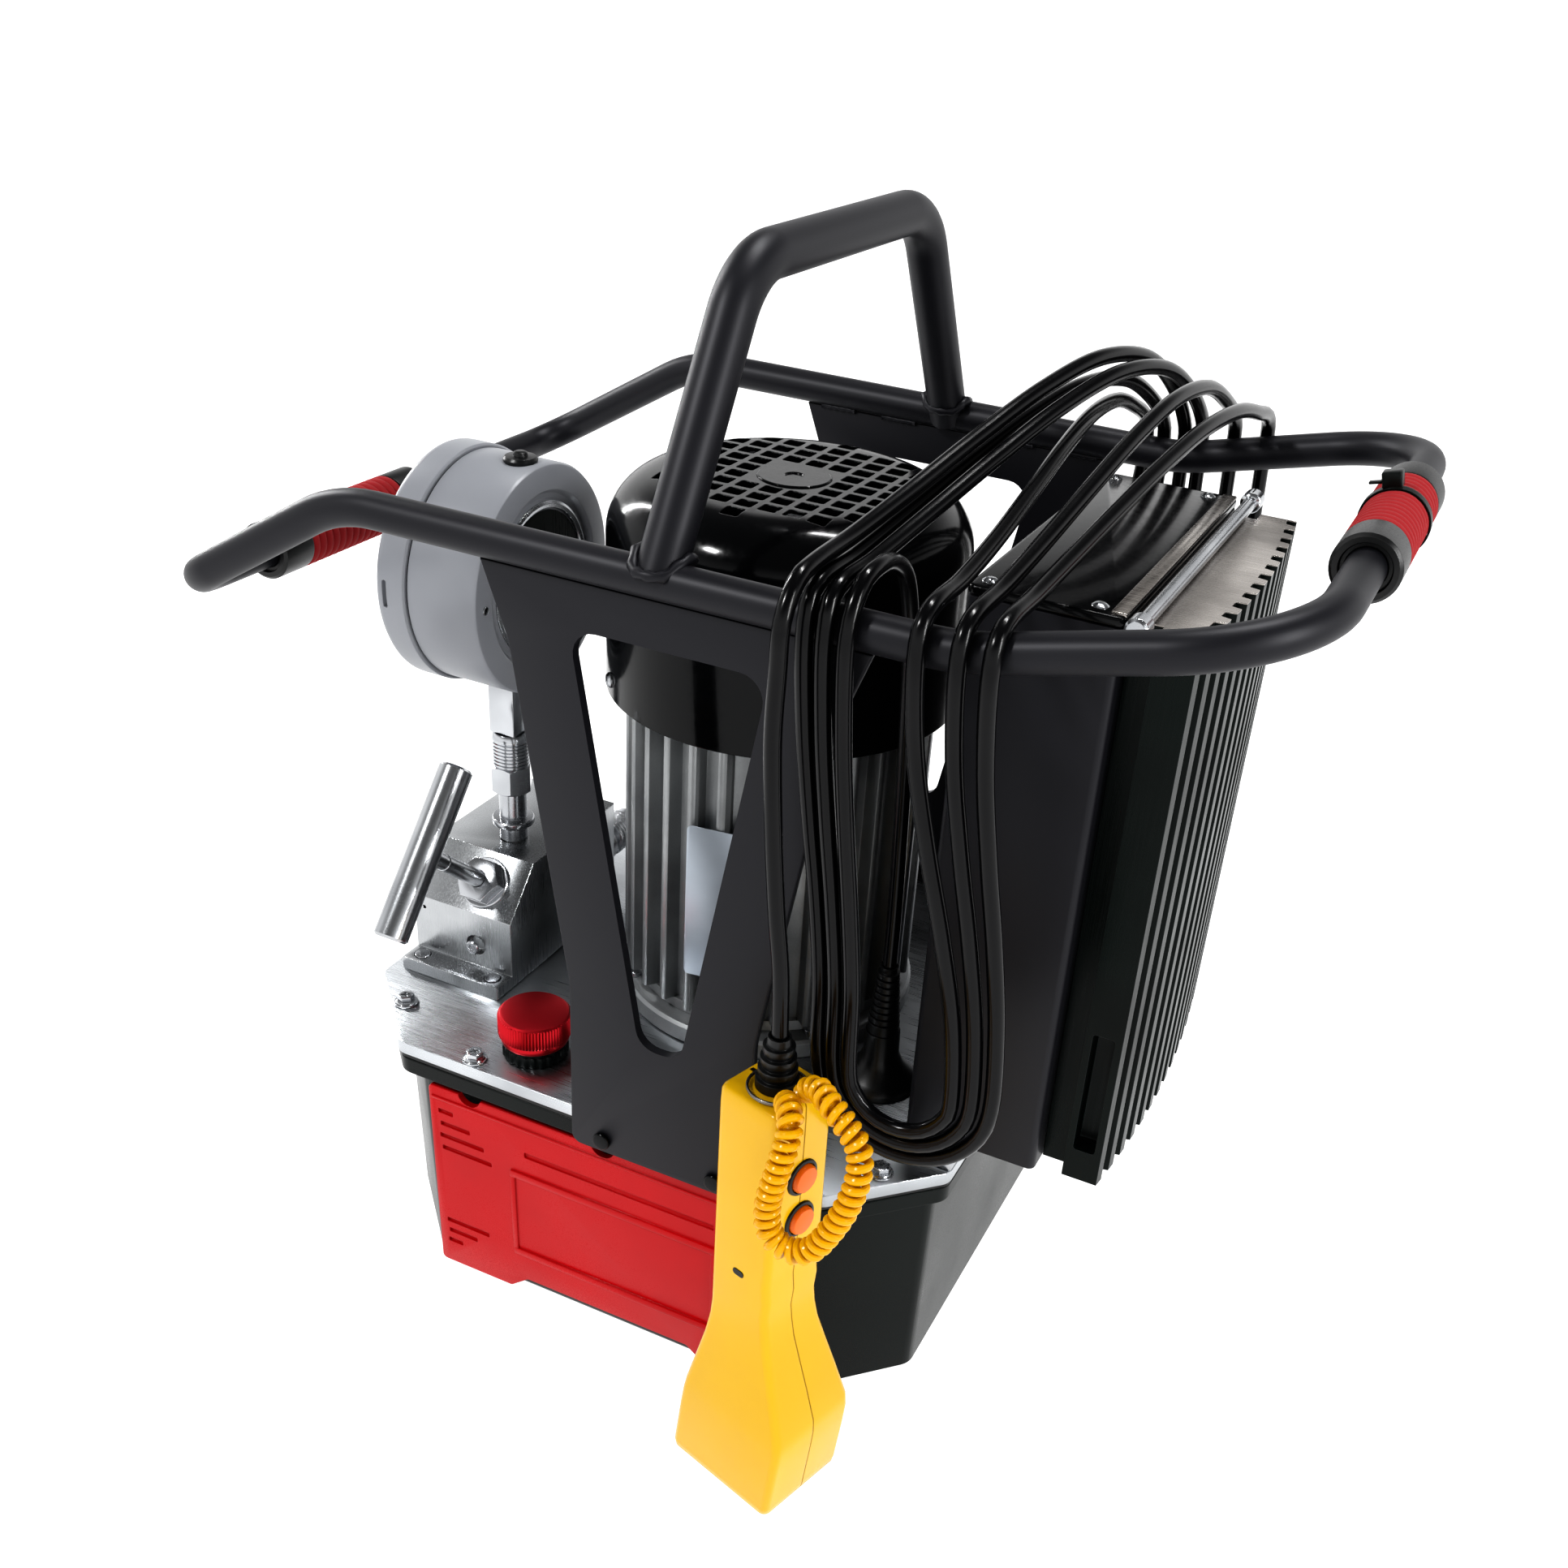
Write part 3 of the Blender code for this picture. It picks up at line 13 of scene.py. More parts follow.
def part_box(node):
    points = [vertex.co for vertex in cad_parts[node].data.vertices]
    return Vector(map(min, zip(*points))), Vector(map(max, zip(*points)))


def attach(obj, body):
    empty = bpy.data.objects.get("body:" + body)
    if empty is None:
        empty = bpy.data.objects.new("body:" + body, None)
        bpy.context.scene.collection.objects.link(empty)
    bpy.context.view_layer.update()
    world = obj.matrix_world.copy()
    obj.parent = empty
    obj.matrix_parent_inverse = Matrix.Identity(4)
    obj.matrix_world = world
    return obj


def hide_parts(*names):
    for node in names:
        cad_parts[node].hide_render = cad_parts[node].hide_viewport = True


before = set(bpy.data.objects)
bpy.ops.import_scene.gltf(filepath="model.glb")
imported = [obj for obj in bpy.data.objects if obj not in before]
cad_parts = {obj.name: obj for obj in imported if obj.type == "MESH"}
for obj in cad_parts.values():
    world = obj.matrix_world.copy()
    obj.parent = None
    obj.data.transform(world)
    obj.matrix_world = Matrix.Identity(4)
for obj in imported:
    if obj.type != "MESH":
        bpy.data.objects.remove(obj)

LOG = logging.getLogger("power_pack")
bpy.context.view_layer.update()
# Where the control cord leaves the top plate, and the middle of the handlebar's side rails
GLAND_AT = (0.085, -0.062)
RAIL_Y = 0.1698
MM = 0.001
FULL_TURN = 2 * math.pi
Point = Sequence[float]
Outline = list[tuple[float, float]]
Mesh = bmesh.types.BMesh
Tree = bpy.types.NodeTree
Socket = bpy.types.NodeSocket


# ---------------------------------------------------------------- materials


def linear(colour: str) -> tuple[float, float, float, float]:
    """Turn an sRGB hex colour into a linear one.

    Args:
        colour: six hex digits.

    Returns:
        Linear red, green, blue and an alpha of one.
    """
    channels = [int(colour[at:at + 2], 16) / 255 for at in (0, 2, 4)]
    return (*[c / 12.92 if c <= 0.04045 else ((c + 0.055) / 1.055) ** 2.4 for c in channels], 1.0)


def add(tree: Tree, kind: str, inputs: dict | None = None, **settings: object) -> bpy.types.Node:
    """Add a shader node, and set or link its inputs.

    Args:
        tree: the material's node tree.
        kind: the node's type, without its ShaderNode prefix.
        inputs: input names or indices, with a value or an output socket for each.
        settings: the node's own properties.

    Returns:
        The new node.
    """
    node = tree.nodes.new("ShaderNode" + kind)
    for name, value in settings.items():
        setattr(node, name, value)
    for name, value in (inputs or {}).items():
        if isinstance(value, Socket):
            tree.links.new(value, node.inputs[name])
        else:
            node.inputs[name].default_value = value
    return node


COAT_ROUGHNESS = 0.04
# Patches of tint and gloss for each metre
PATCH_SCALE = 14.0


class Grain(Enum):
    """How a surface was made, which decides its fine pattern."""

    MOULDED = "moulded"
    COATED = "powder coated"
    BRUSHED_X = "brushed along X"
    BRUSHED_Z = "brushed along Z"
    CAST = "cast"
    SMOOTH = "smooth"
    FOAM = "foamed"


@dataclass(frozen=True)
class Finish:
    """A material: its colour and gloss, the pattern of its making, and its wear.

    Attributes:
        name: the material's own name.
        slot: the record's material slot that it belongs to.
        colour: sRGB hex colour of the clean surface.
        shade: sRGB hex colour of its darker or dirtier patches.
        worn: sRGB hex colour of rubbed edges.
        metallic: zero for plastics and paint, one for bare metal.
        roughness: middle roughness.
        spread: how far the roughness varies to each side.
        coat: weight of a clear glossy top layer.
        ior: refraction index of a surface that isn't bare metal.
        grain: the pattern.
        grain_mm: real size of one grain or streak.
        relief_mm: depth of the bump.
        wear: how much of the edges is rubbed, from 0 to 1.
        edge_mm: radius that sharp edges are shown with.
    """

    name: str
    slot: str
    colour: str
    shade: str
    worn: str = ""
    metallic: float = 0.0
    roughness: float = 0.4
    spread: float = 0.08
    coat: float = 0.0
    ior: float = 1.5
    grain: Grain = Grain.MOULDED
    grain_mm: float = 0.8
    relief_mm: float = 0.02
    wear: float = 0.0
    edge_mm: float = 0.4

    def build(self) -> bpy.types.Material:
        """Make the material's nodes once and return it."""
        made = bpy.data.materials.get(self.name)
        if made:
            return made
        made = bpy.data.materials.new(self.name)
        made.use_nodes = True
        made["slot"] = self.slot
        tree = made.node_tree
        shader = tree.nodes["Principled BSDF"]
        shader.inputs["Metallic"].default_value = self.metallic
        shader.inputs["IOR"].default_value = self.ior
        shader.inputs["Coat Weight"].default_value = self.coat
        shader.inputs["Coat Roughness"].default_value = COAT_ROUGHNESS
        place = add(tree, "TexCoord").outputs["Object"]
        fine, strength = self.pattern(tree, place)
        patches = add(tree, "TexNoise", {"Vector": place, "Scale": PATCH_SCALE, "Detail": 3.0}).outputs["Fac"]
        tint = add(tree, "MapRange", {"Value": patches, "From Min": 0.35, "From Max": 0.7}).outputs["Result"]
        colour = add(tree, "Mix", {"Factor": tint, 6: linear(self.colour), 7: linear(self.shade)},
                     data_type="RGBA").outputs[2]
        rounded = add(tree, "Bevel", {"Radius": self.edge_mm * MM}, samples=4).outputs["Normal"]
        if self.wear:
            colour = self.rub_edges(tree, colour, rounded, fine)
        tree.links.new(colour, shader.inputs["Base Color"])
        low, high = max(0.02, self.roughness - self.spread), min(1.0, self.roughness + self.spread)
        mixed = add(tree, "Math", {0: fine, 1: patches}, operation="ADD").outputs[0]
        rough = add(tree, "MapRange", {
            "Value": mixed, "From Min": 0.6, "From Max": 1.4, "To Min": low, "To Max": high,
        })
        tree.links.new(rough.outputs["Result"], shader.inputs["Roughness"])
        bump = add(tree, "Bump", {
            "Height": fine, "Normal": rounded, "Strength": strength, "Distance": self.relief_mm * MM,
        })
        tree.links.new(bump.outputs["Normal"], shader.inputs["Normal"])
        return made

    def pattern(self, tree: Tree, place: Socket) -> tuple[Socket, float]:
        """Lay the fine pattern.

        Args:
            tree: the material's node tree.
            place: object coordinates in metres.

        Returns:
            The pattern's height from 0 to 1, and the bump's strength.
        """
        per_metre = 1 / (self.grain_mm * MM)
        stretch = {
            Grain.BRUSHED_X: (0.02, 1, 1),
            Grain.BRUSHED_Z: (1, 1, 0.02),
        }.get(self.grain, (1, 1, 1))
        spot = add(tree, "Mapping", {"Vector": place, "Scale": stretch}).outputs["Vector"]
        if self.grain is Grain.FOAM:
            cells = add(tree, "TexVoronoi", {"Vector": spot, "Scale": per_metre})
            return cells.outputs["Distance"], 0.9
        noise = add(tree, "TexNoise", {"Vector": spot, "Scale": per_metre, "Detail": 2.0, "Roughness": 0.6})
        strength = {Grain.SMOOTH: 0.15, Grain.COATED: 0.35, Grain.CAST: 0.8}.get(self.grain, 0.5)
        return noise.outputs["Fac"], strength

    def rub_edges(self, tree: Tree, colour: Socket, rounded: Socket, fine: Socket) -> Socket:
        """Show the worn colour where edges stick out.

        Args:
            tree: the material's node tree.
            colour: the colour so far.
            rounded: normal with rounded edges.
            fine: the fine pattern, which breaks the wear up.

        Returns:
            The colour with its rubbed edges.
        """
        flat = add(tree, "NewGeometry").outputs["Normal"]
        same = add(tree, "VectorMath", {0: rounded, 1: flat}, operation="DOT_PRODUCT").outputs["Value"]
        edge = add(tree, "MapRange", {"Value": same, "From Min": 0.995, "From Max": 0.9}).outputs["Result"]
        broken = add(tree, "Math", {0: edge, 1: fine}, operation="MULTIPLY").outputs[0]
        amount = add(tree, "Math", {0: broken, 1: self.wear}, operation="MULTIPLY", use_clamp=True).outputs[0]
        return add(tree, "Mix", {"Factor": amount, 6: colour, 7: linear(self.worn)},
                   data_type="RGBA").outputs[2]


# Aluminium plate, milled and lightly brushed: satin grey with fine streaks and bright broken edges
MILLED_ALUMINIUM = Finish(
    "milled_aluminium", "machined_aluminium", "c4c7ca", "a5a8ab", "eef0f2", 1.0, 0.3, 0.1,
    grain=Grain.BRUSHED_X, grain_mm=0.7, relief_mm=0.012, wear=0.8, edge_mm=0.6,
)
# The same alloy where the cutter ran up the block
MILLED_BLOCK = Finish(
    "milled_aluminium_block", "machined_aluminium", "b4b6b8", "8e9092", "e6e8ea", 1.0, 0.27, 0.1,
    grain=Grain.BRUSHED_Z, grain_mm=0.8, relief_mm=0.015, wear=0.8, edge_mm=0.7,
)
# Die-cast aluminium motor housing: matt, slightly pebbled, dull silver
DIE_CAST = Finish(
    "die_cast_aluminium", "machined_aluminium", "a9abac", "828486", "d5d7d8", 0.85, 0.48, 0.12,
    grain=Grain.CAST, grain_mm=1.1, relief_mm=0.08, wear=0.6,
)
# Gloss black powder coat: a faint orange peel under a wet-looking skin
BLACK_POWDER_COAT = Finish(
    "gloss_black_powder_coat", "gloss_black_powder_coat", "06070a", "030405", "1c1d20", 0.0, 0.1, 0.04,
    coat=0.32, ior=1.2, grain=Grain.COATED, grain_mm=2.2, relief_mm=0.035, wear=0.35, edge_mm=0.8,
)
# Pressed sheet under black enamel: smoother and a little softer in gloss
BLACK_ENAMEL = Finish(
    "black_enamel", "gloss_black_powder_coat", "060709", "0a0b0d", "26282c", 0.0, 0.15, 0.06,
    coat=0.1, ior=1.3, grain=Grain.COATED, grain_mm=3.5, relief_mm=0.05, wear=0.25, edge_mm=0.9,
)
# Black anodised heat sink: extrusion lines up its height, with a greenish cast
BLACK_ANODISED = Finish(
    "black_anodised_extrusion", "gloss_black_powder_coat", "07120f", "040a08", "5a5f60", 0.15, 0.3, 0.1,
    ior=1.3, grain=Grain.BRUSHED_Z, grain_mm=0.9, relief_mm=0.02, wear=0.7,
)
# Sawn end of the same extrusion: bright brushed aluminium
SAWN_END = Finish(
    "sawn_extrusion_end", "machined_aluminium", "c9c3bd", "8f8a86", "f0eeea", 1.0, 0.26, 0.12,
    grain=Grain.BRUSHED_X, grain_mm=0.6, relief_mm=0.02, wear=0.4,
)
# Moulded black ABS tank: satin with a fine spark-eroded grain
BLACK_ABS = Finish(
    "moulded_black_abs", "moulded_black_plastic", "070c0b", "0a1210", "", 0.0, 0.3, 0.08,
    grain=Grain.MOULDED, ior=1.3, grain_mm=0.5, relief_mm=0.02, edge_mm=1.2,
)
# Red ABS front panel: even colour, satin with soft highlights on its ribs
RED_ABS = Finish(
    "moulded_red_abs", "red_moulded_plastic", "b8000c", "ac000a", "", 0.0, 0.3, 0.07,
    ior=1.35, grain=Grain.MOULDED, grain_mm=0.5, relief_mm=0.02, edge_mm=0.8,
)
# Red anodised cap: metal that shines through a deep red layer
RED_ANODISED = Finish(
    "red_anodised_aluminium", "red_anodised_aluminium", "b20c22", "8c0719", "d65a66", 0.9, 0.28, 0.07,
    grain=Grain.BRUSHED_X, grain_mm=0.6, relief_mm=0.008, wear=0.5,
)
# Grey glass-filled plastic of the gauge: flat satin, hardly any grain
GREY_CASE = Finish(
    "grey_filled_plastic", "grey_case_plastic", "8d8f94", "84868b", "a6a8ac", 0.0, 0.36, 0.06,
    grain=Grain.MOULDED, grain_mm=0.6, relief_mm=0.02, wear=0.3, edge_mm=0.9,
)
# Zinc-plated turned steel: bright, slightly blue-grey
ZINC_STEEL = Finish(
    "zinc_plated_steel", "plated_steel", "bfc1c4", "8f9194", "e6e8ea", 1.0, 0.24, 0.09,
    grain=Grain.SMOOTH, grain_mm=0.5, relief_mm=0.01, wear=0.5,
)
# Ground stainless T-bar: fine lines along its length
GROUND_STEEL = Finish(
    "ground_stainless_steel", "polished_steel", "c2c4c6", "96989b", "f0f1f2", 1.0, 0.22, 0.08,
    grain=Grain.BRUSHED_Z, grain_mm=0.45, relief_mm=0.012, wear=0.4,
)
# PVC cable jacket: extruded, deep black and glossy
BLACK_PVC = Finish(
    "black_pvc_jacket", "black_rubber", "050507", "08080a", "", 0.0, 0.2, 0.05,
    grain=Grain.SMOOTH, grain_mm=1.5, relief_mm=0.02, ior=1.38,
)
# Black rubber of boots and gland: softer gloss than the cable
BLACK_RUBBER = Finish(
    "black_moulded_rubber", "black_rubber", "070809", "0c0d0e", "", 0.0, 0.36, 0.1,
    grain=Grain.MOULDED, grain_mm=0.7, relief_mm=0.03,
)
# Red foam rubber grip: closed cells, dull and darker in its grooves
RED_FOAM = Finish(
    "red_foam_grip", "red_foam_grip", "a80c1a", "8c0814", "", 0.0, 0.62, 0.1,
    grain=Grain.FOAM, grain_mm=0.8, relief_mm=0.12, edge_mm=0.3,
)
# Yellow ABS pendant: glossy, warm, with very slight moulding ripples
YELLOW_ABS = Finish(
    "gloss_yellow_abs", "yellow_pendant_plastic", "d6aa00", "d0a400", "", 0.0, 0.2, 0.05,
    coat=0.2, ior=1.4, grain=Grain.SMOOTH, grain_mm=5.0, relief_mm=0.05, edge_mm=1.2,
)
# Orange buttons: satin moulded plastic
ORANGE_ABS = Finish(
    "satin_orange_abs", "orange_button_plastic", "dc6c08", "d06206", "", 0.0, 0.35, 0.05,
    grain=Grain.MOULDED, grain_mm=0.5, relief_mm=0.015, edge_mm=0.8,
)
# Yellow polyurethane lanyard: slightly waxy gloss
YELLOW_PU = Finish(
    "yellow_polyurethane", "yellow_pendant_plastic", "daa400", "d09a00", "", 0.0, 0.24, 0.05,
    ior=1.4, grain=Grain.SMOOTH, grain_mm=3.0, relief_mm=0.03,
)
# Spring steel split ring
SPRING_STEEL = Finish(
    "spring_steel", "plated_steel", "8e8a86", "6b6764", "c0bcb8", 1.0, 0.3, 0.1,
    grain=Grain.SMOOTH, grain_mm=0.5, relief_mm=0.01,
)
# Printed aluminium nameplate, left blank: satin silver foil
FOIL = Finish(
    "blank_foil_nameplate", "machined_aluminium", "b9c0c8", "a3aab2", "", 0.8, 0.38, 0.06,
    grain=Grain.BRUSHED_X, grain_mm=0.5, relief_mm=0.005,
)
# Matt white enamel of the gauge's dial
DIAL_ENAMEL = Finish(
    "matt_white_enamel", "dial_white", "eeeeea", "e4e4de", "", 0.0, 0.5, 0.05,
    grain=Grain.SMOOTH, grain_mm=0.5, relief_mm=0.004,
)
# Black print and pointer; also the painted shade that stands for the pendant's vent slot
BLACK_PRINT_AND_SLOT_SHADE = Finish(
    "black_print_and_slot_shade", "moulded_black_plastic", "111111", "1a1a1a", "", 0.0, 0.5, 0.05,
    grain=Grain.SMOOTH, grain_mm=0.5, relief_mm=0.004,
)
# Cast iron of the pump and the laminated stator core
CAST_IRON = Finish(
    "cast_iron", "cast_iron_core", "4a4a4a", "353535", "7a7a7a", 0.9, 0.55, 0.1,
    grain=Grain.CAST, grain_mm=1.0, relief_mm=0.08, wear=0.4,
)


@dataclass(frozen=True)
class Glass:
    """A clear window: hardly any tint and a sharp reflection, with faint smears."""

    name: str
    slot: str

    def build(self) -> bpy.types.Material:
        """Make the material once, and return it."""
        made = bpy.data.materials.get(self.name)
        if made:
            return made
        made = bpy.data.materials.new(self.name)
        made.use_nodes = True
        tree = made.node_tree
        shader = tree.nodes["Principled BSDF"]
        shader.inputs["Base Color"].default_value = linear("f4f8f8")
        shader.inputs["Transmission Weight"].default_value = 1.0
        shader.inputs["IOR"].default_value = 1.45
        place = add(tree, "TexCoord").outputs["Object"]
        smear = add(tree, "TexNoise", {"Vector": place, "Scale": 40.0, "Detail": 2.0}).outputs["Fac"]
        rough = add(tree, "MapRange", {"Value": smear, "To Min": 0.02, "To Max": 0.08}).outputs["Result"]
        tree.links.new(rough, shader.inputs["Roughness"])
        return made


# Clear safety glass in the gauge's window
WINDOW_GLASS = Glass("clear_safety_glass", "clear_window")


# ---------------------------------------------------------------- shapes


def rounded(corners: Outline, radius: float | Sequence[float], steps: int = 4) -> Outline:
    """Round the corners of a closed outline.

    Args:
        corners: the outline's corners.
        radius: one radius, or one for each corner.
        steps: straight pieces in each arc.

    Returns:
        The rounded outline.
    """
    points: Outline = []
    count = len(corners)
    for index, corner in enumerate(corners):
        wanted = radius if isinstance(radius, (int, float)) else radius[index]
        here = Vector(corner)
        back = Vector(corners[index - 1]) - here
        ahead = Vector(corners[(index + 1) % count]) - here
        if wanted <= 0:
            points.append(tuple(here))
            continue
        half = back.angle(ahead) / 2
        reach = min(wanted / math.tan(half), 0.45 * back.length, 0.45 * ahead.length)
        middle = here + (back.normalized() + ahead.normalized()).normalized() * (reach / math.cos(half))
        start = here + back.normalized() * reach - middle
        swing = start.angle_signed(here + ahead.normalized() * reach - middle)
        for step in range(steps + 1):
            turned = start.copy()
            turned.rotate(Matrix.Rotation(-swing * step / steps, 2))
            points.append(tuple(middle + turned))
    return points


def rectangle(x_low: float, x_high: float, y_low: float, y_high: float) -> Outline:
    """Return an upright rectangle's corners."""
    return [(x_low, y_low), (x_high, y_low), (x_high, y_high), (x_low, y_high)]


def circle(radius: float, sides: int) -> Outline:
    """Return a regular polygon's corners on a circle round the origin."""
    turns = [FULL_TURN * side / sides for side in range(sides)]
    return [(radius * math.cos(turn), radius * math.sin(turn)) for turn in turns]


SHARP = math.radians(30)
MERGE = 1e-6


def soften(bm: Mesh, width: float, segments: int = 2, edges: Iterable | None = None) -> None:
    """Bevel sharp edges.

    Args:
        bm: the mesh.
        width: bevel width.
        segments: faces across each bevel.
        edges: the edges, or None for all that are sharper than 30 degrees.
    """
    chosen = list(edges) if edges is not None else [
        edge for edge in bm.edges if len(edge.link_faces) == 2 and edge.calc_face_angle(0) > SHARP
    ]
    bmesh.ops.bevel(bm, geom=chosen, offset=width, segments=segments, profile=0.5, affect="EDGES",
                    material=-1, clamp_overlap=True)


AXIS_TURNS = {
    "Z": Matrix.Identity(4),
    "Y": Matrix(((1, 0, 0, 0), (0, 0, 1, 0), (0, 1, 0, 0), (0, 0, 0, 1))),
    "X": Matrix(((0, 0, 1, 0), (1, 0, 0, 0), (0, 1, 0, 0), (0, 0, 0, 1))),
}


def extruded(
    outline: Outline, low: float, high: float, axis: str = "Z", bevel: float = 0.0, segments: int = 2
) -> Mesh:
    """Extrude an outline.

    Args:
        outline: (x, y) for Z, (x, z) for Y or (y, z) for X.
        low: start along the axis.
        high: end along the axis.
        axis: the direction.
        bevel: width of the rounding of the two end rims.
        segments: faces across it.

    Returns:
        The closed mesh.
    """
    bm = bmesh.new()
    face = bm.faces.new([bm.verts.new((x, y, low)) for x, y in outline])
    grown = bmesh.ops.extrude_face_region(bm, geom=[face], use_keep_orig=True)
    top = [item for item in grown["geom"] if isinstance(item, bmesh.types.BMVert)]
    bmesh.ops.translate(bm, verts=top, vec=(0, 0, high - low))
    if bevel:
        rims = [edge for edge in bm.edges if abs(edge.verts[0].co.z - edge.verts[1].co.z) < 1e-7]
        soften(bm, bevel, segments, rims)
    bm.transform(AXIS_TURNS[axis])
    bm.normal_update()
    bmesh.ops.recalc_face_normals(bm, faces=bm.faces)
    return bm


def block(low: Point, high: Point, bevel: float = 0.0) -> Mesh:
    """Make a block between two corners, with all its edges rounded."""
    bm = bmesh.new()
    size = [b - a for a, b in zip(low, high)]
    middle = [(a + b) / 2 for a, b in zip(low, high)]
    bmesh.ops.create_cube(bm, size=1.0, matrix=Matrix.Translation(middle) @ Matrix.Diagonal((*size, 1)))
    if bevel:
        soften(bm, bevel)
    return bm


def centre_of(node: str) -> Point:
    """Return the middle of a CAD node's box."""
    low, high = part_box(node)
    return tuple((a + b) / 2 for a, b in zip(low, high))


def aimed(place: Point, direction: Point) -> Matrix:
    """Return the transform that puts a shape made on Z at a place, looking along a direction."""
    turn = Vector((0, 0, 1)).rotation_difference(Vector(direction)).to_matrix().to_4x4()
    return Matrix.Translation(place) @ turn


def turned(profile: Outline, place: Point = (0, 0, 0), direction: Point = (0, 0, 1), steps: int = 64) -> Mesh:
    """Spin a closed profile of (radius, height) points.

    Args:
        profile: points in order; a point of radius zero closes the shape on its axis.
        place: where its origin goes.
        direction: where its axis points.
        steps: faces around it.

    Returns:
        The closed mesh.
    """
    bm = bmesh.new()
    verts = [bm.verts.new((radius, 0, height)) for radius, height in profile]
    edges = []
    for index, (radius, _) in enumerate(profile):
        after = (index + 1) % len(profile)
        if radius > 1e-9 or profile[after][0] > 1e-9:
            edges.append(bm.edges.new((verts[index], verts[after])))
    bmesh.ops.spin(bm, geom=verts + edges, cent=(0, 0, 0), axis=(0, 0, 1), angle=FULL_TURN,
                   steps=steps, use_merge=True)
    bmesh.ops.remove_doubles(bm, verts=bm.verts, dist=1e-7)
    bmesh.ops.recalc_face_normals(bm, faces=bm.faces)
    bm.transform(aimed(place, direction))
    return bm


def pin(radius: float, low: float, high: float, edge: float = 0.0) -> Outline:
    """Return the profile of a round pin with rounded rims."""
    if not edge:
        return [(0, low), (radius, low), (radius, high), (0, high)]
    arc = [(1 - math.cos(step * math.pi / 8), 1 - math.sin(step * math.pi / 8)) for step in range(5)]
    foot = [(radius - edge * a, low + edge * b) for a, b in reversed(arc)]
    head = [(radius - edge * a, high - edge * b) for a, b in arc]
    return [(0, low), *foot, *head, (0, high)]


def joined(*parts: Mesh) -> Mesh:
    """Put the other meshes into the first, and free them."""
    whole = parts[0]
    for part in parts[1:]:
        mesh = bpy.data.meshes.new("joining")
        part.to_mesh(mesh)
        part.free()
        whole.from_mesh(mesh)
        bpy.data.meshes.remove(mesh)
    return whole


def carved(bm: Mesh, *tools: Mesh, operation: str = "DIFFERENCE") -> Mesh:
    """Cut tools out of a mesh, or unite them with it.

    Args:
        bm: the mesh, which is freed.
        tools: closed meshes, which are freed.
        operation: the Boolean modifier's operation.

    Returns:
        The resulting mesh.
    """
    holders = []
    for number, source in enumerate((bm, *tools)):
        mesh = bpy.data.meshes.new(f"carving_{number}")
        source.to_mesh(mesh)
        source.free()
        holder = bpy.data.objects.new(f"carving_{number}", mesh)
        bpy.context.collection.objects.link(holder)
        holders.append(holder)
    for tool in holders[1:]:
        modifier = holders[0].modifiers.new(tool.name, "BOOLEAN")
        modifier.operation = operation
        modifier.solver = "EXACT"
        modifier.object = tool
    result = bmesh.new()
    result.from_object(holders[0], bpy.context.evaluated_depsgraph_get())
    for holder in holders:
        mesh = holder.data
        bpy.data.objects.remove(holder)
        bpy.data.meshes.remove(mesh)
    bmesh.ops.remove_doubles(result, verts=result.verts, dist=MERGE)
    bmesh.ops.dissolve_degenerate(result, edges=result.edges, dist=MERGE)
    return result


def smooth_path(route: Sequence[Point], spacing: float, closed: bool = False) -> list[Vector]:
    """Walk evenly along a Catmull-Rom curve.

    Args:
        route: the points that it passes through.
        spacing: distance between the returned points.
        closed: whether it returns to its start.

    Returns:
        The points.
    """
    knots = [Vector(point) for point in route]
    knots = [knots[-1], *knots, knots[0], knots[1]] if closed else [
        2 * knots[0] - knots[1], *knots, 2 * knots[-1] - knots[-2]
    ]
    fine, steps = [], 24
    for a, b, c, d in zip(knots, knots[1:], knots[2:], knots[3:]):
        for step in range(steps):
            t = step / steps
            square, cube = 2 * a - 5 * b + 4 * c - d, 3 * b - a - 3 * c + d
            fine.append(0.5 * (2 * b + (c - a) * t + square * t**2 + cube * t**3))
    if not closed:
        fine.append(knots[-2].copy())
    run = [0.0]
    for start, end in zip(fine, fine[1:]):
        run.append(run[-1] + (end - start).length)
    count = max(2, round(run[-1] / spacing))
    points, index = [], 0
    for step in range(count if closed else count + 1):
        wanted = run[-1] * step / count
        while index < len(run) - 2 and run[index + 1] < wanted:
            index += 1
        share = (wanted - run[index]) / max(run[index + 1] - run[index], 1e-9)
        points.append(fine[index].lerp(fine[index + 1], min(share, 1.0)))
    return points


def bent_path(corners: Sequence[Point], radii: Sequence[float], degrees: float = 5.0) -> list[Vector]:
    """Join straight runs by arcs, as a bent tube does; a radius of zero is a plain end."""
    knots = [Vector(corner) for corner in corners]
    points: list[Vector] = []
    for index, here in enumerate(knots):
        if radii[index] == 0:
            points.append(here)
            continue
        back = (knots[index - 1] - here).normalized()
        ahead = (knots[(index + 1) % len(knots)] - here).normalized()
        half = back.angle(ahead) / 2
        reach = radii[index] / math.tan(half)
        middle = here + (back + ahead).normalized() * (radii[index] / math.sin(half))
        start = here + back * reach - middle
        turn = math.pi - 2 * half
        normal = start.cross(here + ahead * reach - middle).normalized()
        steps = max(3, math.ceil(math.degrees(turn) / degrees))
        points += [middle + Matrix.Rotation(turn * step / steps, 3, normal) @ start
                   for step in range(steps + 1)]
    return points


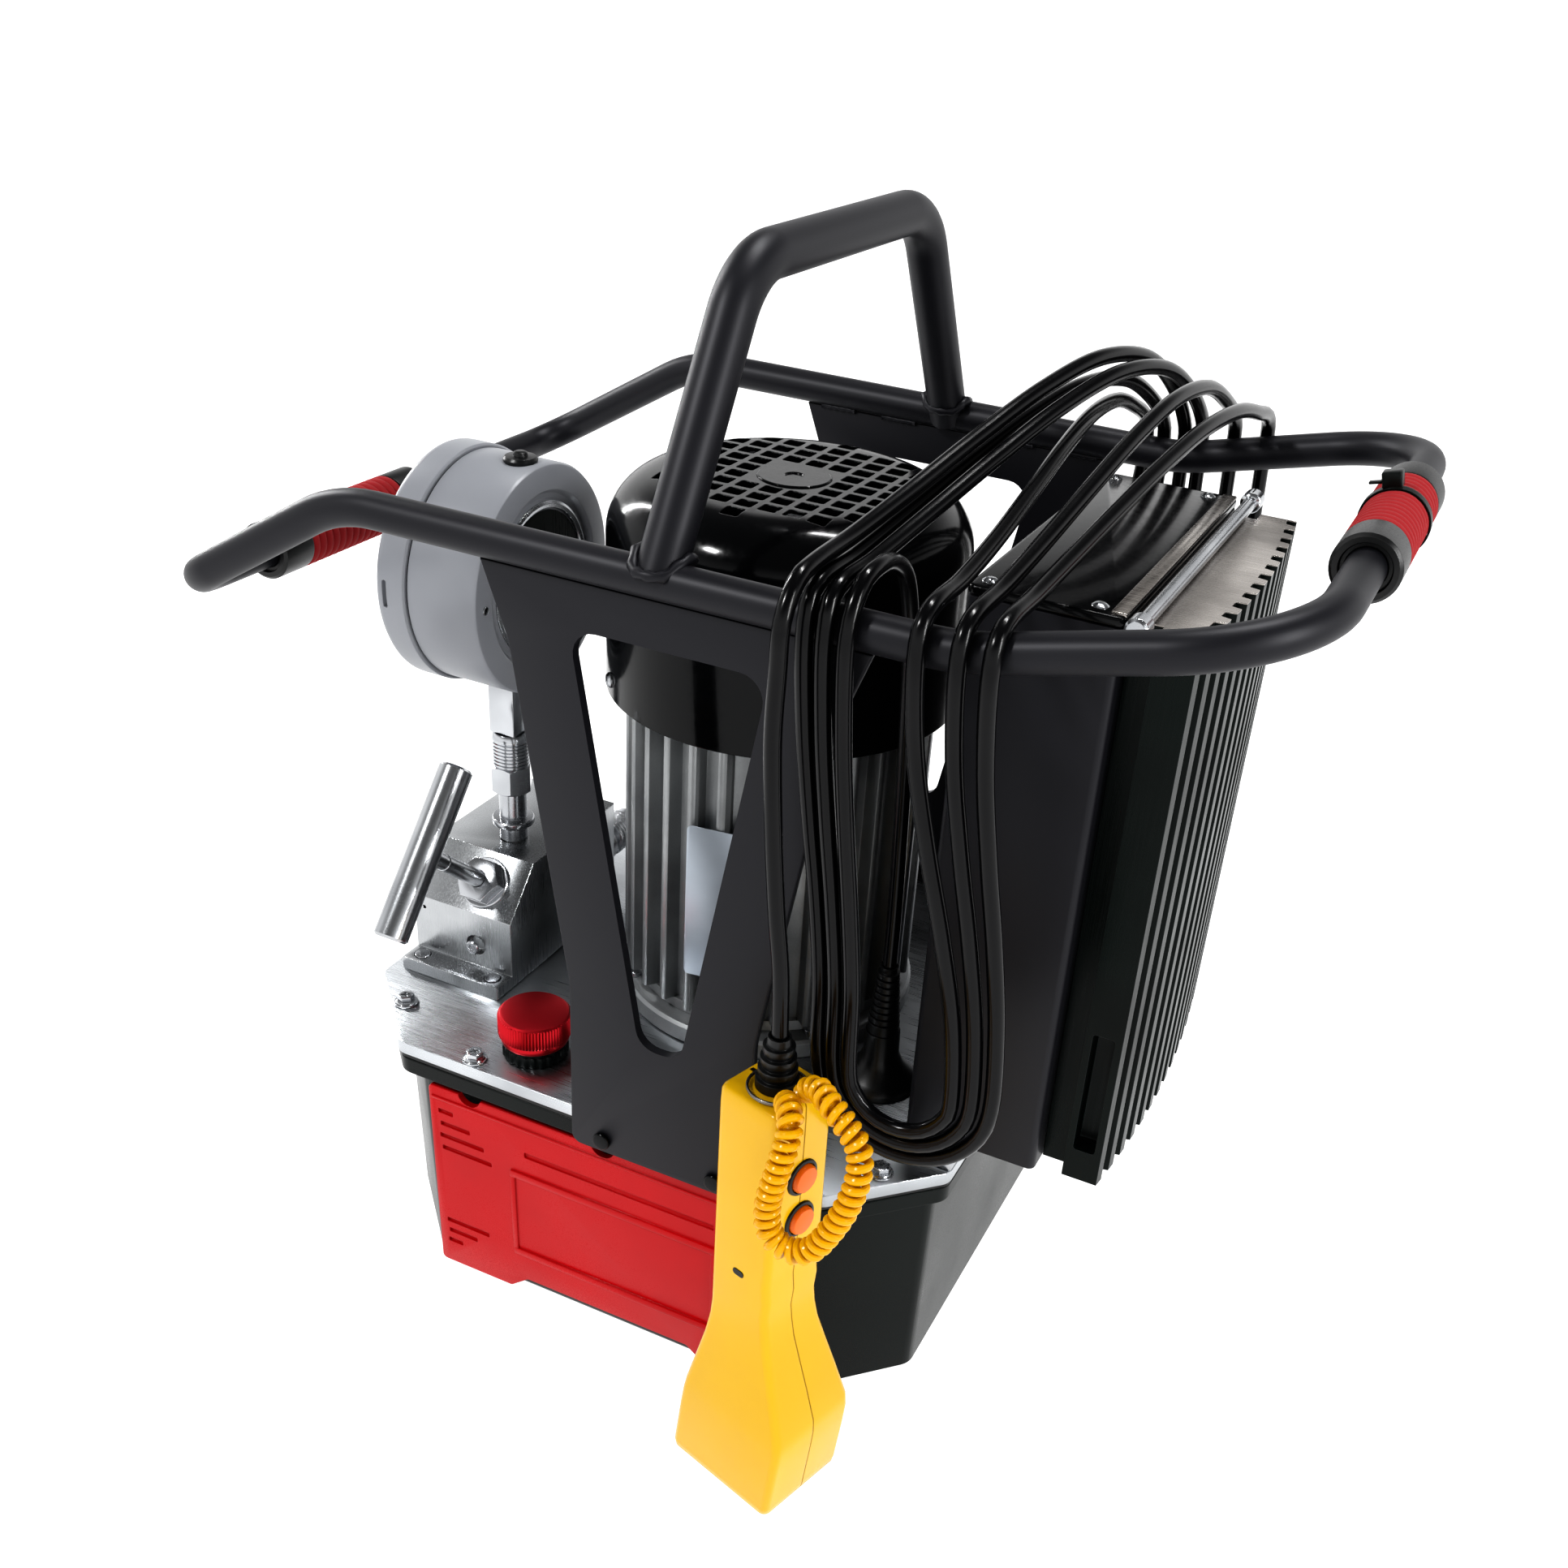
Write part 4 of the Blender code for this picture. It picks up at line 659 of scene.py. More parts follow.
def swept(
    points: Sequence[Point], radius: float | Sequence[float], sides: int = 6, closed: bool = False
) -> Mesh:
    """Sweep a round bar along points.

    Args:
        points: the centreline.
        radius: its radius, or one for each point.
        sides: the curve's bevel resolution; the bar has 2 * sides + 4 sides.
        closed: whether it is a loop.

    Returns:
        The closed mesh.
    """
    curve = bpy.data.curves.new("sweep", "CURVE")
    curve.dimensions = "3D"
    each = [radius] * len(points) if isinstance(radius, (int, float)) else list(radius)
    curve.bevel_depth = max(each)
    curve.bevel_resolution = sides
    curve.use_fill_caps = not closed
    spline = curve.splines.new("POLY")
    spline.points.add(len(points) - 1)
    for knot, point, size in zip(spline.points, points, each):
        knot.co = (*point, 1.0)
        knot.radius = size / curve.bevel_depth
    spline.use_cyclic_u = closed
    holder = bpy.data.objects.new("sweep", curve)
    bpy.context.collection.objects.link(holder)
    mesh = bpy.data.meshes.new_from_object(holder.evaluated_get(bpy.context.evaluated_depsgraph_get()))
    bm = bmesh.new()
    bm.from_mesh(mesh)
    bpy.data.meshes.remove(mesh)
    bpy.data.objects.remove(holder)
    bpy.data.curves.remove(curve)
    bmesh.ops.remove_doubles(bm, verts=bm.verts, dist=1e-7)
    bmesh.ops.recalc_face_normals(bm, faces=bm.faces)
    return bm


def wavy(radius: float, depth: float, waves: int, steps: int = 4) -> Outline:
    """Return a circle with ripples, as a knurled or fluted rim has."""
    points = []
    for step in range(waves * steps):
        turn = FULL_TURN * step / (waves * steps)
        far = radius - depth * (0.5 - 0.5 * math.cos(turn * waves))
        points.append((far * math.cos(turn), far * math.sin(turn)))
    return points


def ribbed_boot(
    node: str, place: Point, foot: float, mouth: float, large: float, shrink: float, groove: float,
    margin: float,
    run: float, ribs: int
) -> Mesh:
    """Mould a tapered strain relief with rings.

    Args:
        node: the CAD node whose heights it keeps.
        place: x and y of its axis.
        foot: radius of its foot.
        mouth: radius where the cord comes out.
        large: radius of the lowest ring.
        shrink: how much smaller the rings get towards the mouth.
        groove: depth of the grooves.
        margin: height of the first ring over the foot.
        run: distance from a ring's foot to the end of its groove.
        ribs: number of rings.

    Returns:
        The closed mesh.
    """
    (_, _, low), (_, _, high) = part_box(node)
    bore, rings = 0.0043, []
    for rib in range(ribs):
        at = low + margin + (high - low - 2 * margin) * rib / ribs
        size = large - shrink * rib / ribs
        rings += [(size, at), (size, at + 0.0030), (size - groove, at + 0.0034), (size - groove, at + run)]
    return turned([(bore, low), (foot, low), *rings, (mouth, high), (bore, high)], (*place, 0), steps=48)


@dataclass
class Assembly:
    """A group of pieces that are made and dressed together."""

    def place(
        self,
        name: str,
        bm: Mesh,
        finish: Finish,
        replaces: Sequence[str] = (),
        body: str = "root",
        smooth: float = 35.0,
    ) -> bpy.types.Object:
        """Turn a mesh into a finished piece of the frame.

        Args:
            name: the piece's name.
            bm: its mesh, which is freed.
            finish: its material.
            replaces: the CAD nodes that it stands for.
            body: the CAD body that it rides on.
            smooth: edges sharper than this, in degrees, stay crisp.

        Returns:
            The piece.
        """
        mesh = bpy.data.meshes.new(name)
        bm.to_mesh(mesh)
        bm.free()
        mesh.shade_smooth()
        mesh.set_sharp_from_angle(angle=math.radians(smooth))
        piece = bpy.data.objects.new(name, mesh)
        bpy.context.collection.objects.link(piece)
        mesh.materials.append(finish.build())
        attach(piece, body)
        if replaces:
            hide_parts(*replaces)
        LOG.info("%s: %d faces", name, len(mesh.polygons))
        return piece

    def dress(self, finish: Finish, *nodes: str) -> None:
        """Give CAD nodes a finish."""
        for node in nodes:
            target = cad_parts[node]
            target.data.materials.clear()
            target.data.materials.append(finish.build())


# ---------------------------------------------------------------- cord


@dataclass
class ControlCord(Assembly):
    """The control cord, draped in three loops over the rails and the electrical box.

    Attributes:
        diameter: the cable's own.
        rail_y: middle of the side rails.
        rail_z: height of the cable's middle on them.
        pitch: distance between cables that lie side by side.
        loop_middle: x of the front loops' feet.
        start: where it leaves the gland's boot.
    """

    diameter: float = 0.008
    rail_y: float = RAIL_Y
    rail_z: float = 0.4865
    pitch: float = 0.009
    loop_middle: float = 0.141
    start: tuple[float, float, float] = (*GLAND_AT, 0.2403)

    def from_gland(self) -> list[Point]:
        """Straight up out of the gland's boot, then over the front rail."""
        return [
            self.start, (0.0850, -0.0625, 0.2700), (0.0850, -0.0650, 0.3100),
            (0.0860, -0.0720, 0.3600), (0.0885, -0.0840, 0.4100), (0.0925, -0.1000, 0.4500),
            (0.0960, -0.1200, 0.4805), (0.0970, -0.1400, 0.4935), (0.0972, -0.1580, 0.4960),
            (0.0970, -0.1730, 0.4915),
        ]

    def to_pendant(self) -> list[Point]:
        """Down in front of the hank to the pendant's boot."""
        return [
            (0.0760, -0.1900, 0.4950), (0.0760, -0.2010, 0.4810), (0.0758, -0.2020, 0.4600),
            (0.0760, -0.2035, 0.4300), (0.0790, -0.2045, 0.3900), (0.0830, -0.2050, 0.3500),
            (0.0870, -0.2052, 0.3180), (0.0885, -0.2050, 0.2843),
        ]

    def hanging(
        self, left: float, right: float, middle: float, radius: float, low: float, side: int, out: float
    ) -> list[Point]:
        """One loop that hangs down beside a rail.

        Args:
            left: x where it comes down off the rail.
            right: x where it goes up again.
            middle: x of the bend at its foot.
            radius: radius of that bend.
            low: lowest point of the centreline.
            side: -1 in front, 1 behind.
            out: distance from the rail's middle at the foot.

        Returns:
            The loop's points, from left to right.
        """
        reach = self.rail_y + 0.0134
        top = self.rail_z - 0.014
        bend = low + radius

        def leg(at_rail: float, at_bend: float, share: float) -> Point:
            ease = share * share * (3 - 2 * share)
            y = reach + (self.rail_y + out - reach) * min(1.0, 1.6 * share)
            return (at_rail + (at_bend - at_rail) * ease, side * y, top + (bend - top) * share)

        shares = (0.0, 0.2, 0.4, 0.6, 0.8)
        down = [leg(left, middle - radius, share) for share in shares]
        turns = [math.pi + math.pi * step / 6 for step in range(7)]
        y = side * (self.rail_y + out)
        foot = [(middle + radius * math.cos(turn), y, bend + radius * math.sin(turn)) for turn in turns]
        up = [leg(right, middle + radius, share) for share in reversed(shares)]
        return down + foot + up

    def crossing(self, front: float, rear: float, lift: float, raised: float = 0.0) -> list[Point]:
        """One strand over the top, from the front rail to the rear one.

        Args:
            front: x on the front rail.
            rear: x on the rear rail.
            lift: height of its hump.
            raised: extra height where it lies on other strands in front.

        Returns:
            The strand's points, from front to rear.
        """
        rise = max(0.0, rear - 0.135) * 0.22
        points = []
        for share in (0.0, 0.1, 0.22, 0.36, 0.5, 0.64, 0.78, 0.9, 1.0):
            ease = share * share * (3 - 2 * share)
            y = -self.rail_y - 0.004 + (2 * self.rail_y + 0.010) * share
            hump = math.sin(math.pi * share**1.7)
            z = self.rail_z + 0.003 + rise * share + lift * hump + raised * (1 - share)
            points.append((front + (rear - front) * ease, y, z))
        return points

    def route(self) -> list[Vector]:
        """Run through every stretch of the cord in order."""
        turns = [
            # x down and up in front, bend radius, x there and back behind, distance out, humps there and back
            (0.097, 0.128, 0.026, 0.118, 0.150, 0.0145, 0.030, 0.050),
            (0.087, 0.146, 0.035, 0.168, 0.128, 0.0235, 0.040, 0.043),
            (0.078, 0.160, 0.044, 0.186, 0.140, 0.0325, 0.026, 0.054),
        ]
        points = self.from_gland()
        for number, (left, right, radius, there, back, layer, lift_out, lift_back) in enumerate(turns):
            points += self.hanging(left, right, self.loop_middle, radius, 0.262 - radius, -1,
                                   0.0135 - 0.002 * number)
            points += self.crossing(right, there, lift_out)
            low, high = sorted((there, back))
            rear = self.hanging(low, high, (low + high) / 2, 0.025, 0.330 - 0.010 * number, 1, layer)
            points += rear if there < back else rear[::-1]
            last = number == len(turns) - 1
            ahead = 0.076 if last else turns[number + 1][0]
            points += self.crossing(ahead, back, lift_back, self.pitch if last else 0.0)[::-1]
        points += self.to_pendant()
        return smooth_path(points, 0.006)

    def make(self) -> None:
        path = self.route()
        cord = self.place("control_cord", swept(path, self.diameter / 2, 4), BLACK_PVC, replaces=(
            "cord_gland_end", "cord_hank_front", "cord_hank_top", "cord_hank_rear", "cord_pendant_end"))


# ---------------------------------------------------------------- stage


def make_stage() -> None:
    """Set a pale floor, soft lights and the camera."""
    scene = bpy.context.scene
    floor_mesh = bmesh.new()
    bmesh.ops.create_grid(floor_mesh, x_segments=1, y_segments=1, size=60.0)
    mesh = bpy.data.meshes.new("floor")
    floor_mesh.to_mesh(mesh)
    floor_mesh.free()
    floor = bpy.data.objects.new("floor", mesh)
    scene.collection.objects.link(floor)
    # Matt paper, lit from below as a light table is
    paper = bpy.data.materials.new("pale_paper")
    paper.use_nodes = True
    surface = paper.node_tree.nodes["Principled BSDF"].inputs
    surface["Base Color"].default_value = linear("a8a8a8")
    surface["Roughness"].default_value = 0.95
    surface["Emission Color"].default_value = linear("ffffff")
    surface["Emission Strength"].default_value = 0.72
    mesh.materials.append(paper)

    world = bpy.data.worlds.new("studio")
    world.use_nodes = True
    backdrop = world.node_tree.nodes["Background"]
    backdrop.inputs["Color"].default_value = linear("fdfdfd")
    # Bright round the horizon, dim overhead, as in a white cove under a dark ceiling
    heading = add(world.node_tree, "TexCoord").outputs["Generated"]
    height = add(world.node_tree, "SeparateXYZ", {"Vector": heading}).outputs["Z"]
    glow = add(world.node_tree, "MapRange", {
        "Value": height, "From Min": 0.3, "From Max": 0.6, "To Min": 1.0, "To Max": 0.15,
    }).outputs["Result"]
    world.node_tree.links.new(glow, backdrop.inputs["Strength"])
    scene.world = world
    lamps = (
        # name, place, width, height, power
        ("key_softbox", (-0.9, -1.3, 1.9), 0.3, 0.2, 17.0),
        ("side_strip", (1.7, -0.5, 1.1), 0.07, 1.0, 14.0),
        ("top_softbox", (0.1, 0.6, 2.2), 0.9, 0.1, 16.0),
        ("left_strip", (-1.6, 0.5, 1.0), 0.07, 1.0, 10.0),
    )
    for name, place, width, height, power in lamps:
        light = bpy.data.lights.new(name, "AREA")
        light.shape = "RECTANGLE"
        light.size, light.size_y = width, height
        light.energy = power
        lamp = bpy.data.objects.new(name, light)
        lamp.location = place
        lamp.rotation_mode = "QUATERNION"
        lamp.rotation_quaternion = (Vector((0, 0, 0.3)) - Vector(place)).to_track_quat("-Z", "Y")
        scene.collection.objects.link(lamp)

    right, up = Vector((0.9044, 0.4206, 0.0721)), Vector((-0.2733, 0.4413, 0.8547))
    back = right.cross(up).normalized()
    up = back.cross(right).normalized()
    camera = bpy.data.cameras.new("camera")
    camera.lens = 38.28
    camera.sensor_width = 36.0
    camera.shift_x, camera.shift_y = -0.0399, 0.0696
    eye = bpy.data.objects.new("camera", camera)
    turn = Matrix((right.normalized(), up, back)).transposed().to_4x4()
    eye.matrix_world = Matrix.Translation((0.3484, -0.7685, 0.7344)) @ turn
    scene.collection.objects.link(eye)
    scene.camera = eye
    scene.view_settings.view_transform = "Standard"
    scene.view_settings.look = "High Contrast"


# ---------------------------------------------------------------- carry frame


@dataclass
class CarryFrame(Assembly):
    """Handlebar loop, arch handle, gussets and the two grips."""

    rail_radius: float = 0.009
    rail_y: float = RAIL_Y
    rail_z: float = 0.473
    arch_radius: float = 0.0112
    arch_z: float = 0.595
    arch_half: float = 0.098
    gusset_x: float = 0.0065
    grip_length: float = 0.128
    grip_radius: float = 0.0155
    left_end: tuple[float, float] = (-0.279, 0.408)
    left_grip_y: float = -0.045
    right_end: tuple[float, float] = (0.279, 0.507)
    left_bend: float = -0.172
    right_bend: float = 0.143

    def loop(self) -> Mesh:
        """Bend the handlebar loop from one tube."""
        y = self.rail_y
        corners = [
            (self.left_bend, -y, self.rail_z), (self.right_bend, -y, self.rail_z),
            (self.right_end[0], -y, self.right_end[1]), (self.right_end[0], y, self.right_end[1]),
            (self.right_bend, y, self.rail_z), (self.left_bend, y, self.rail_z),
            (self.left_end[0], y, self.left_end[1]), (self.left_end[0], -y, self.left_end[1]),
        ]
        radii = [0.075, 0.120, 0.058, 0.058, 0.120, 0.075, 0.030, 0.030]
        return swept(bent_path(corners, radii), self.rail_radius, 12, True)

    def arch(self) -> Mesh:
        """Bend the arch handle, with its feet sunk into the rails as welded tube is."""
        foot = self.rail_z - 0.002
        corners = [
            (0, -self.rail_y, foot), (0, -self.arch_half, self.arch_z),
            (0, self.arch_half, self.arch_z), (0, self.rail_y, foot),
        ]
        return swept(bent_path(corners, [0, 0.042, 0.042, 0]), self.arch_radius, 14)

    def weld(self, side: int) -> Mesh:
        """Lay the ripples of a weld round one foot of the arch, where its tube meets the rail."""
        lean = math.atan2(self.rail_y - self.arch_half, self.arch_z - self.rail_z)
        beads, radius = 26, self.arch_radius + 0.0012
        points = []
        for bead in range(beads):
            turn = FULL_TURN * bead / beads
            across = radius * math.sin(turn)
            height = math.sqrt(max(0.0, (self.rail_radius + 0.0012) ** 2 - min(abs(across),
                                                                               self.rail_radius) ** 2))
            shift = height * math.tan(lean)
            y = side * (self.rail_y - shift) + across / math.cos(lean) * 0.9
            points.append((radius * math.cos(turn), y, self.rail_z + max(height, 0.0015)))
        sizes = [0.0021 if bead % 2 else 0.0030 for bead in range(beads)]
        return swept(points, sizes, 3, True)

    def gusset(self, side: int) -> Mesh:
        """Cut one gusset plate with its window from sheet."""
        low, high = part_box("gusset_front" if side < 0 else "gusset_rear")
        middle = self.gusset_x
        half = [(0.0535, low[2]), (0.0535, 0.246), (0.084, 0.427), (0.098, high[2])]
        outline = [(middle + x, z) for x, z in half] + [(middle - x, z) for x, z in reversed(half)]
        radii = [0.006, 0.05, 0.03, 0.0]
        plate = extruded(rounded(outline, radii + radii[::-1], 6), low[1], high[1], "Y", 0.0009)
        (foot, bottom), (head, top) = (0.012, 0.221), (0.051, 0.441)
        window = [(middle + foot, bottom), (middle + head, top), (middle - head, top),
                  (middle - foot, bottom)]
        hole = extruded(rounded(window, 0.012, 6), low[1] - 0.01, high[1] + 0.01, "Y")
        return carved(plate, hole)

    def seams(self, side: int) -> Mesh:
        """Lay four short weld seams where a gusset meets its rail."""
        y = side * (self.rail_y - 0.0002) - side * 0.0030
        z = self.rail_z - self.rail_radius + 0.0002
        beads = range(11)
        sizes = [0.0014 if bead % 2 else 0.0020 for bead in beads]
        starts = (-0.081, -0.041, 0.034, 0.073)
        return joined(*[swept([(x + 0.0022 * bead, y, z) for bead in beads], sizes, 2) for x in starts])

    def grip(self, place: Point) -> tuple[Mesh, Mesh]:
        """Mould one grip: a ribbed sleeve and its two end collars.

        Args:
            place: its middle.

        Returns:
            The sleeve and the collars.
        """
        half, collar, pitch = self.grip_length / 2, 0.023, 0.0054
        inner, outer = self.rail_radius + 0.0003, self.grip_radius
        edge = half - collar
        ribs = int(2 * edge / pitch)
        profile = [(inner, -edge)]
        for rib in range(ribs):
            start = -edge + 2 * edge * rib / ribs
            width = 2 * edge / ribs
            profile += [(outer - drop, start + share * width)
                        for drop, share in ((0.0012, 0), (0.0001, 0.16), (0, 0.5), (0.0001, 0.84))]
        profile += [(outer - 0.0012, edge), (inner, edge)]
        sleeve = turned(profile, place, (0, 1, 0), 48)
        ends = []
        for side in (-1, 1):
            start = side * (edge + 0.0003)
            collar_profile = [
                (inner, start), (outer - 0.0002, start), (outer, start + side * 0.001),
                (outer, side * (half - 0.0015)), (outer - 0.0015, side * half), (outer - 0.004, side * half),
                (outer - 0.0045, side * (half - 0.002)), (inner, side * (half - 0.002)),
            ]
            ends.append(turned(collar_profile, place, (0, 1, 0), 48))
        return sleeve, joined(*ends)

    def cable_tie(self) -> Mesh:
        """Make the black cable tie round the right grip, with its square head on top."""
        x, z = self.right_end
        y, out = 0.012, self.grip_radius + 0.0010
        band = turned(rectangle(out - 0.0009, out, -0.0022, 0.0022), (x, y, z), (0, 1, 0.12), 48)
        head = block((-0.0045, -0.004, 0), (0.0045, 0.004, 0.0075), 0.0008)
        tail = block((-0.0045, -0.0018, 0.002), (-0.0105, 0.0018, 0.0032), 0.0004)
        head = joined(head, tail)
        head.transform(Matrix.Translation((x - 0.004, y, z + out - 0.0012)) @ Matrix.Rotation(-0.25, 4, "Y"))
        return joined(band, head)

    def make(self) -> None:
        """Build and dress the frame."""
        self.place("carry_rail", self.loop(), BLACK_POWDER_COAT, ("rail_loop",))
        self.place("arch_tube", self.arch(), BLACK_POWDER_COAT, ("arch_handle",))
        for side, name in ((-1, "front"), (1, "rear")):
            self.place(f"arch_weld_{name}", self.weld(side), BLACK_POWDER_COAT, smooth=60)
            self.place(f"gusset_plate_{name}", self.gusset(side), BLACK_POWDER_COAT, (f"gusset_{name}",))
            self.place(f"gusset_weld_{name}", self.seams(side), BLACK_POWDER_COAT, smooth=60)
            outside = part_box(f"gusset_{name}")[side > 0][1]
            heads = [turned(pin(0.0052, 0, 0.0024, 0.0012), (self.gusset_x + x, outside, 0.151), (0, side, 0),
                            24)
                     for x in (-0.034, 0.034)]
            self.place(f"gusset_screws_{name}", joined(*heads), BLACK_ENAMEL)
        for name, (x, z), y in (("left", self.left_end, self.left_grip_y), ("right", self.right_end, 0.0)):
            sleeve, collars = self.grip((x, y, z))
            self.place(f"grip_sleeve_{name}", sleeve, RED_FOAM, (f"grip_{name}",), smooth=50)
            self.place(f"grip_collars_{name}", collars, BLACK_RUBBER)
        self.place("cable_tie", self.cable_tie(), BLACK_ABS)


# ---------------------------------------------------------------- tank and top plate


def plate_outline(inset_x: float, inset_y: float, corner: float = 0.005, steps: int = 4) -> Outline:
    """Return the top plate's octagon, moved in by the insets."""
    low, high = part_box("top_plate")
    chamfer = 0.051
    x_low, x_high, y_low, y_high = low[0] + inset_x, high[0] - inset_x, low[1] + inset_y, high[1] - inset_y
    corners = [
        (x_high, y_low + chamfer), (x_high, y_high - chamfer), (x_high - chamfer, y_high),
        (x_low + chamfer, y_high),
        (x_low, y_high - chamfer), (x_low, y_low + chamfer), (x_low + chamfer, y_low),
        (x_high - chamfer, y_low),
    ]
    return rounded(corners, corner, steps)


def layered(rings: Sequence[tuple[Outline, float]]) -> Mesh:
    """Bridge rings of equal count into a closed solid.

    Args:
        rings: outlines with their heights, in order.

    Returns:
        The closed mesh.
    """
    bm = bmesh.new()
    loops = []
    for outline, height in rings:
        verts = [bm.verts.new((x, y, height)) for x, y in outline]
        loops.append([bm.edges.new((verts[at - 1], verts[at])) for at in range(len(verts))])
    for lower, upper in zip(loops, loops[1:]):
        bmesh.ops.bridge_loops(bm, edges=lower + upper)
    bmesh.ops.holes_fill(bm, edges=bm.edges, sides=0)
    bmesh.ops.recalc_face_normals(bm, faces=bm.faces)
    return bm


@dataclass
class TankAndPlate(Assembly):
    """Tank, red front panel, seal, top plate, its screws and the oil filler."""

    wall: float = 0.004
    taper: float = 0.003
    screw_insets: tuple[tuple[float, float], ...] = ((0.032, 0.032), (0.098, 0.007))
    cap_knurls: int = 72
    louvre_rows: tuple[tuple[float, float], ...] = (
        # height and length of each
        (0.120, 0.010), (0.111, 0.020), (0.102, 0.030), (0.093, 0.034), (0.036, 0.030), (0.028, 0.020),
        (0.020, 0.010),
    )

    def tank(self) -> Mesh:
        """Mould the tank with its draft, rounded foot and thick flange."""
        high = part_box("tank")[1]
        flange_low = high[2] - 0.012
        side_x, side_y, taper = 0.010, 0.008, self.taper

        def wall_at(height: float, extra: float = 0.0) -> tuple[Outline, float]:
            drop = taper * (1 - height / flange_low)
            return plate_outline(side_x + drop + extra, side_y + drop + extra, 0.012), height

        rings = [wall_at(0.0, 0.005), wall_at(0.0012, 0.0022), wall_at(0.005, 0.0),
                 wall_at(flange_low - 0.004),
                 (plate_outline(side_x - 0.002, side_y - 0.002, 0.012), flange_low - 0.0008)]
        rim = [(0.004, flange_low), (0.0012, flange_low + 0.0015), (0.0010, high[2] - 0.001),
               (0.002, high[2])]
        rings += [(plate_outline(inset, inset, 0.012), height) for inset, height in rim]
        rings += [wall_at(high[2], self.wall), wall_at(0.005, self.wall + 0.001)]
        return layered(rings)

    def panel(self) -> Mesh:
        """Mould the red front panel with its scallops, rib frames and louvres."""
        low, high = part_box("tank_front_panel")
        front, back = -0.1632, -0.1593
        middle = (low[0] + high[0]) / 2
        top, bottom, step = 0.137, 0.012, 0.010
        outline = [
            (low[0], top), (low[0], bottom - step), (low[0] + 0.050, bottom - step), (low[0] + 0.062, bottom),
            (high[0] - 0.062, bottom), (high[0] - 0.050, bottom - step), (high[0], bottom - step),
            (high[0], top),
        ]
        plate = extruded(rounded(outline, 0.003), front, back, "Y", 0.0008)
        scallops = [
            turned(pin(0.0075, -0.05, 0.05), (middle + shift, front, top + 0.0015), (0, 1, 0), 24)
            for shift in (-0.088, 0.0, 0.088)
        ]
        louvres = []
        for side in (-1, 1):
            for row, (height, length) in enumerate(self.louvre_rows):
                edge = side * (0.110 - 0.001 * (row % 2))
                left, right = sorted((middle + edge, middle + edge - side * length))
                louvres.append(block((left, front - 0.002, height - 0.0016),
                                     (right, front + 0.0018, height + 0.0016), 0.0005))
        groove = block((middle - 0.052, front - 0.002, 0.1085), (middle + 0.070, front + 0.0016, 0.1125),
                       0.0007)
        plate = carved(plate, *scallops, *louvres, groove)
        ribs = [
            # left, right, bottom, top, height, rounding
            (middle - 0.062, middle + 0.072, 0.0915, 0.0965, 0.0016, 0.0012),
            (middle - 0.062, middle + 0.072, 0.0315, 0.0365, 0.0016, 0.0012),
            (middle - 0.0623, middle - 0.0587, 0.033, 0.095, 0.0012, 0.0009),
            (middle + 0.0687, middle + 0.0723, 0.033, 0.095, 0.0012, 0.0009),
            (low[0] + 0.002, high[0] - 0.002, 0.1285, 0.1305, 0.0012, 0.0008),
        ]
        whole = joined(plate, *[block((left, front - out, bottom), (right, front + 0.001, top), edge)
                                for left, right, bottom, top, out, edge in ribs])
        shear = Matrix.Identity(4)
        shear[1][2] = -self.taper / 0.1399
        shear[1][3] = 0.0018
        whole.transform(shear)
        return whole

    def screw(self, x: float, y: float) -> Mesh:
        """Make a hexagon washer-head screw with a cross recess."""
        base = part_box("top_plate")[1][2] + 0.0003
        washer = turned([(0, 0), (0.0068, 0), (0.0070, 0.0005), (0.0068, 0.0011), (0, 0.0012)], steps=32)
        flare = turned([(0, 0.0010), (0.0060, 0.0010), (0.0052, 0.0020), (0, 0.0022)], steps=32)
        head = extruded(circle(0.0050, 6), 0.0018, 0.0056, bevel=0.0006)
        long, thin, bottom, top = 0.0026, 0.0006, 0.0038, 0.0070
        slots = [block((-x, -y, bottom), (x, y, top)) for x, y in ((long, thin), (thin, long))]
        screw = joined(washer, flare, carved(head, *slots))
        screw.transform(Matrix.Translation((x, y, base)) @ Matrix.Rotation((x * 37 + y * 91) * 10, 4, "Z"))
        return screw

    def cap(self) -> Mesh:
        """Turn the knurled oil cap."""
        x, y, _ = centre_of("oil_cap")
        place = (x, y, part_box("filler_neck")[1][2] + 0.0003)
        radius, height = 0.0205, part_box("oil_cap")[1][2] - place[2]
        skirt = turned([(0, 0), (0.0186, 0), (0.0190, 0.0008), (0.0190, 0.0035), (0.0184, 0.0044),
                        (0, 0.0046)], place, steps=72)
        grip = extruded(wavy(radius, 0.0007, self.cap_knurls), 0.0044, height - 0.0012, bevel=0.0006)
        grip.transform(Matrix.Translation(place))
        crown = turned([(0, height - 0.0013), (radius - 0.0008, height - 0.0013),
                        (radius - 0.0016, height - 0.0003), (radius - 0.0028, height), (0, height)],
                       place, steps=72)
        stub = turned(pin(0.0120, -0.009, 0.0005), place, steps=32)
        return joined(skirt, grip, crown, stub)

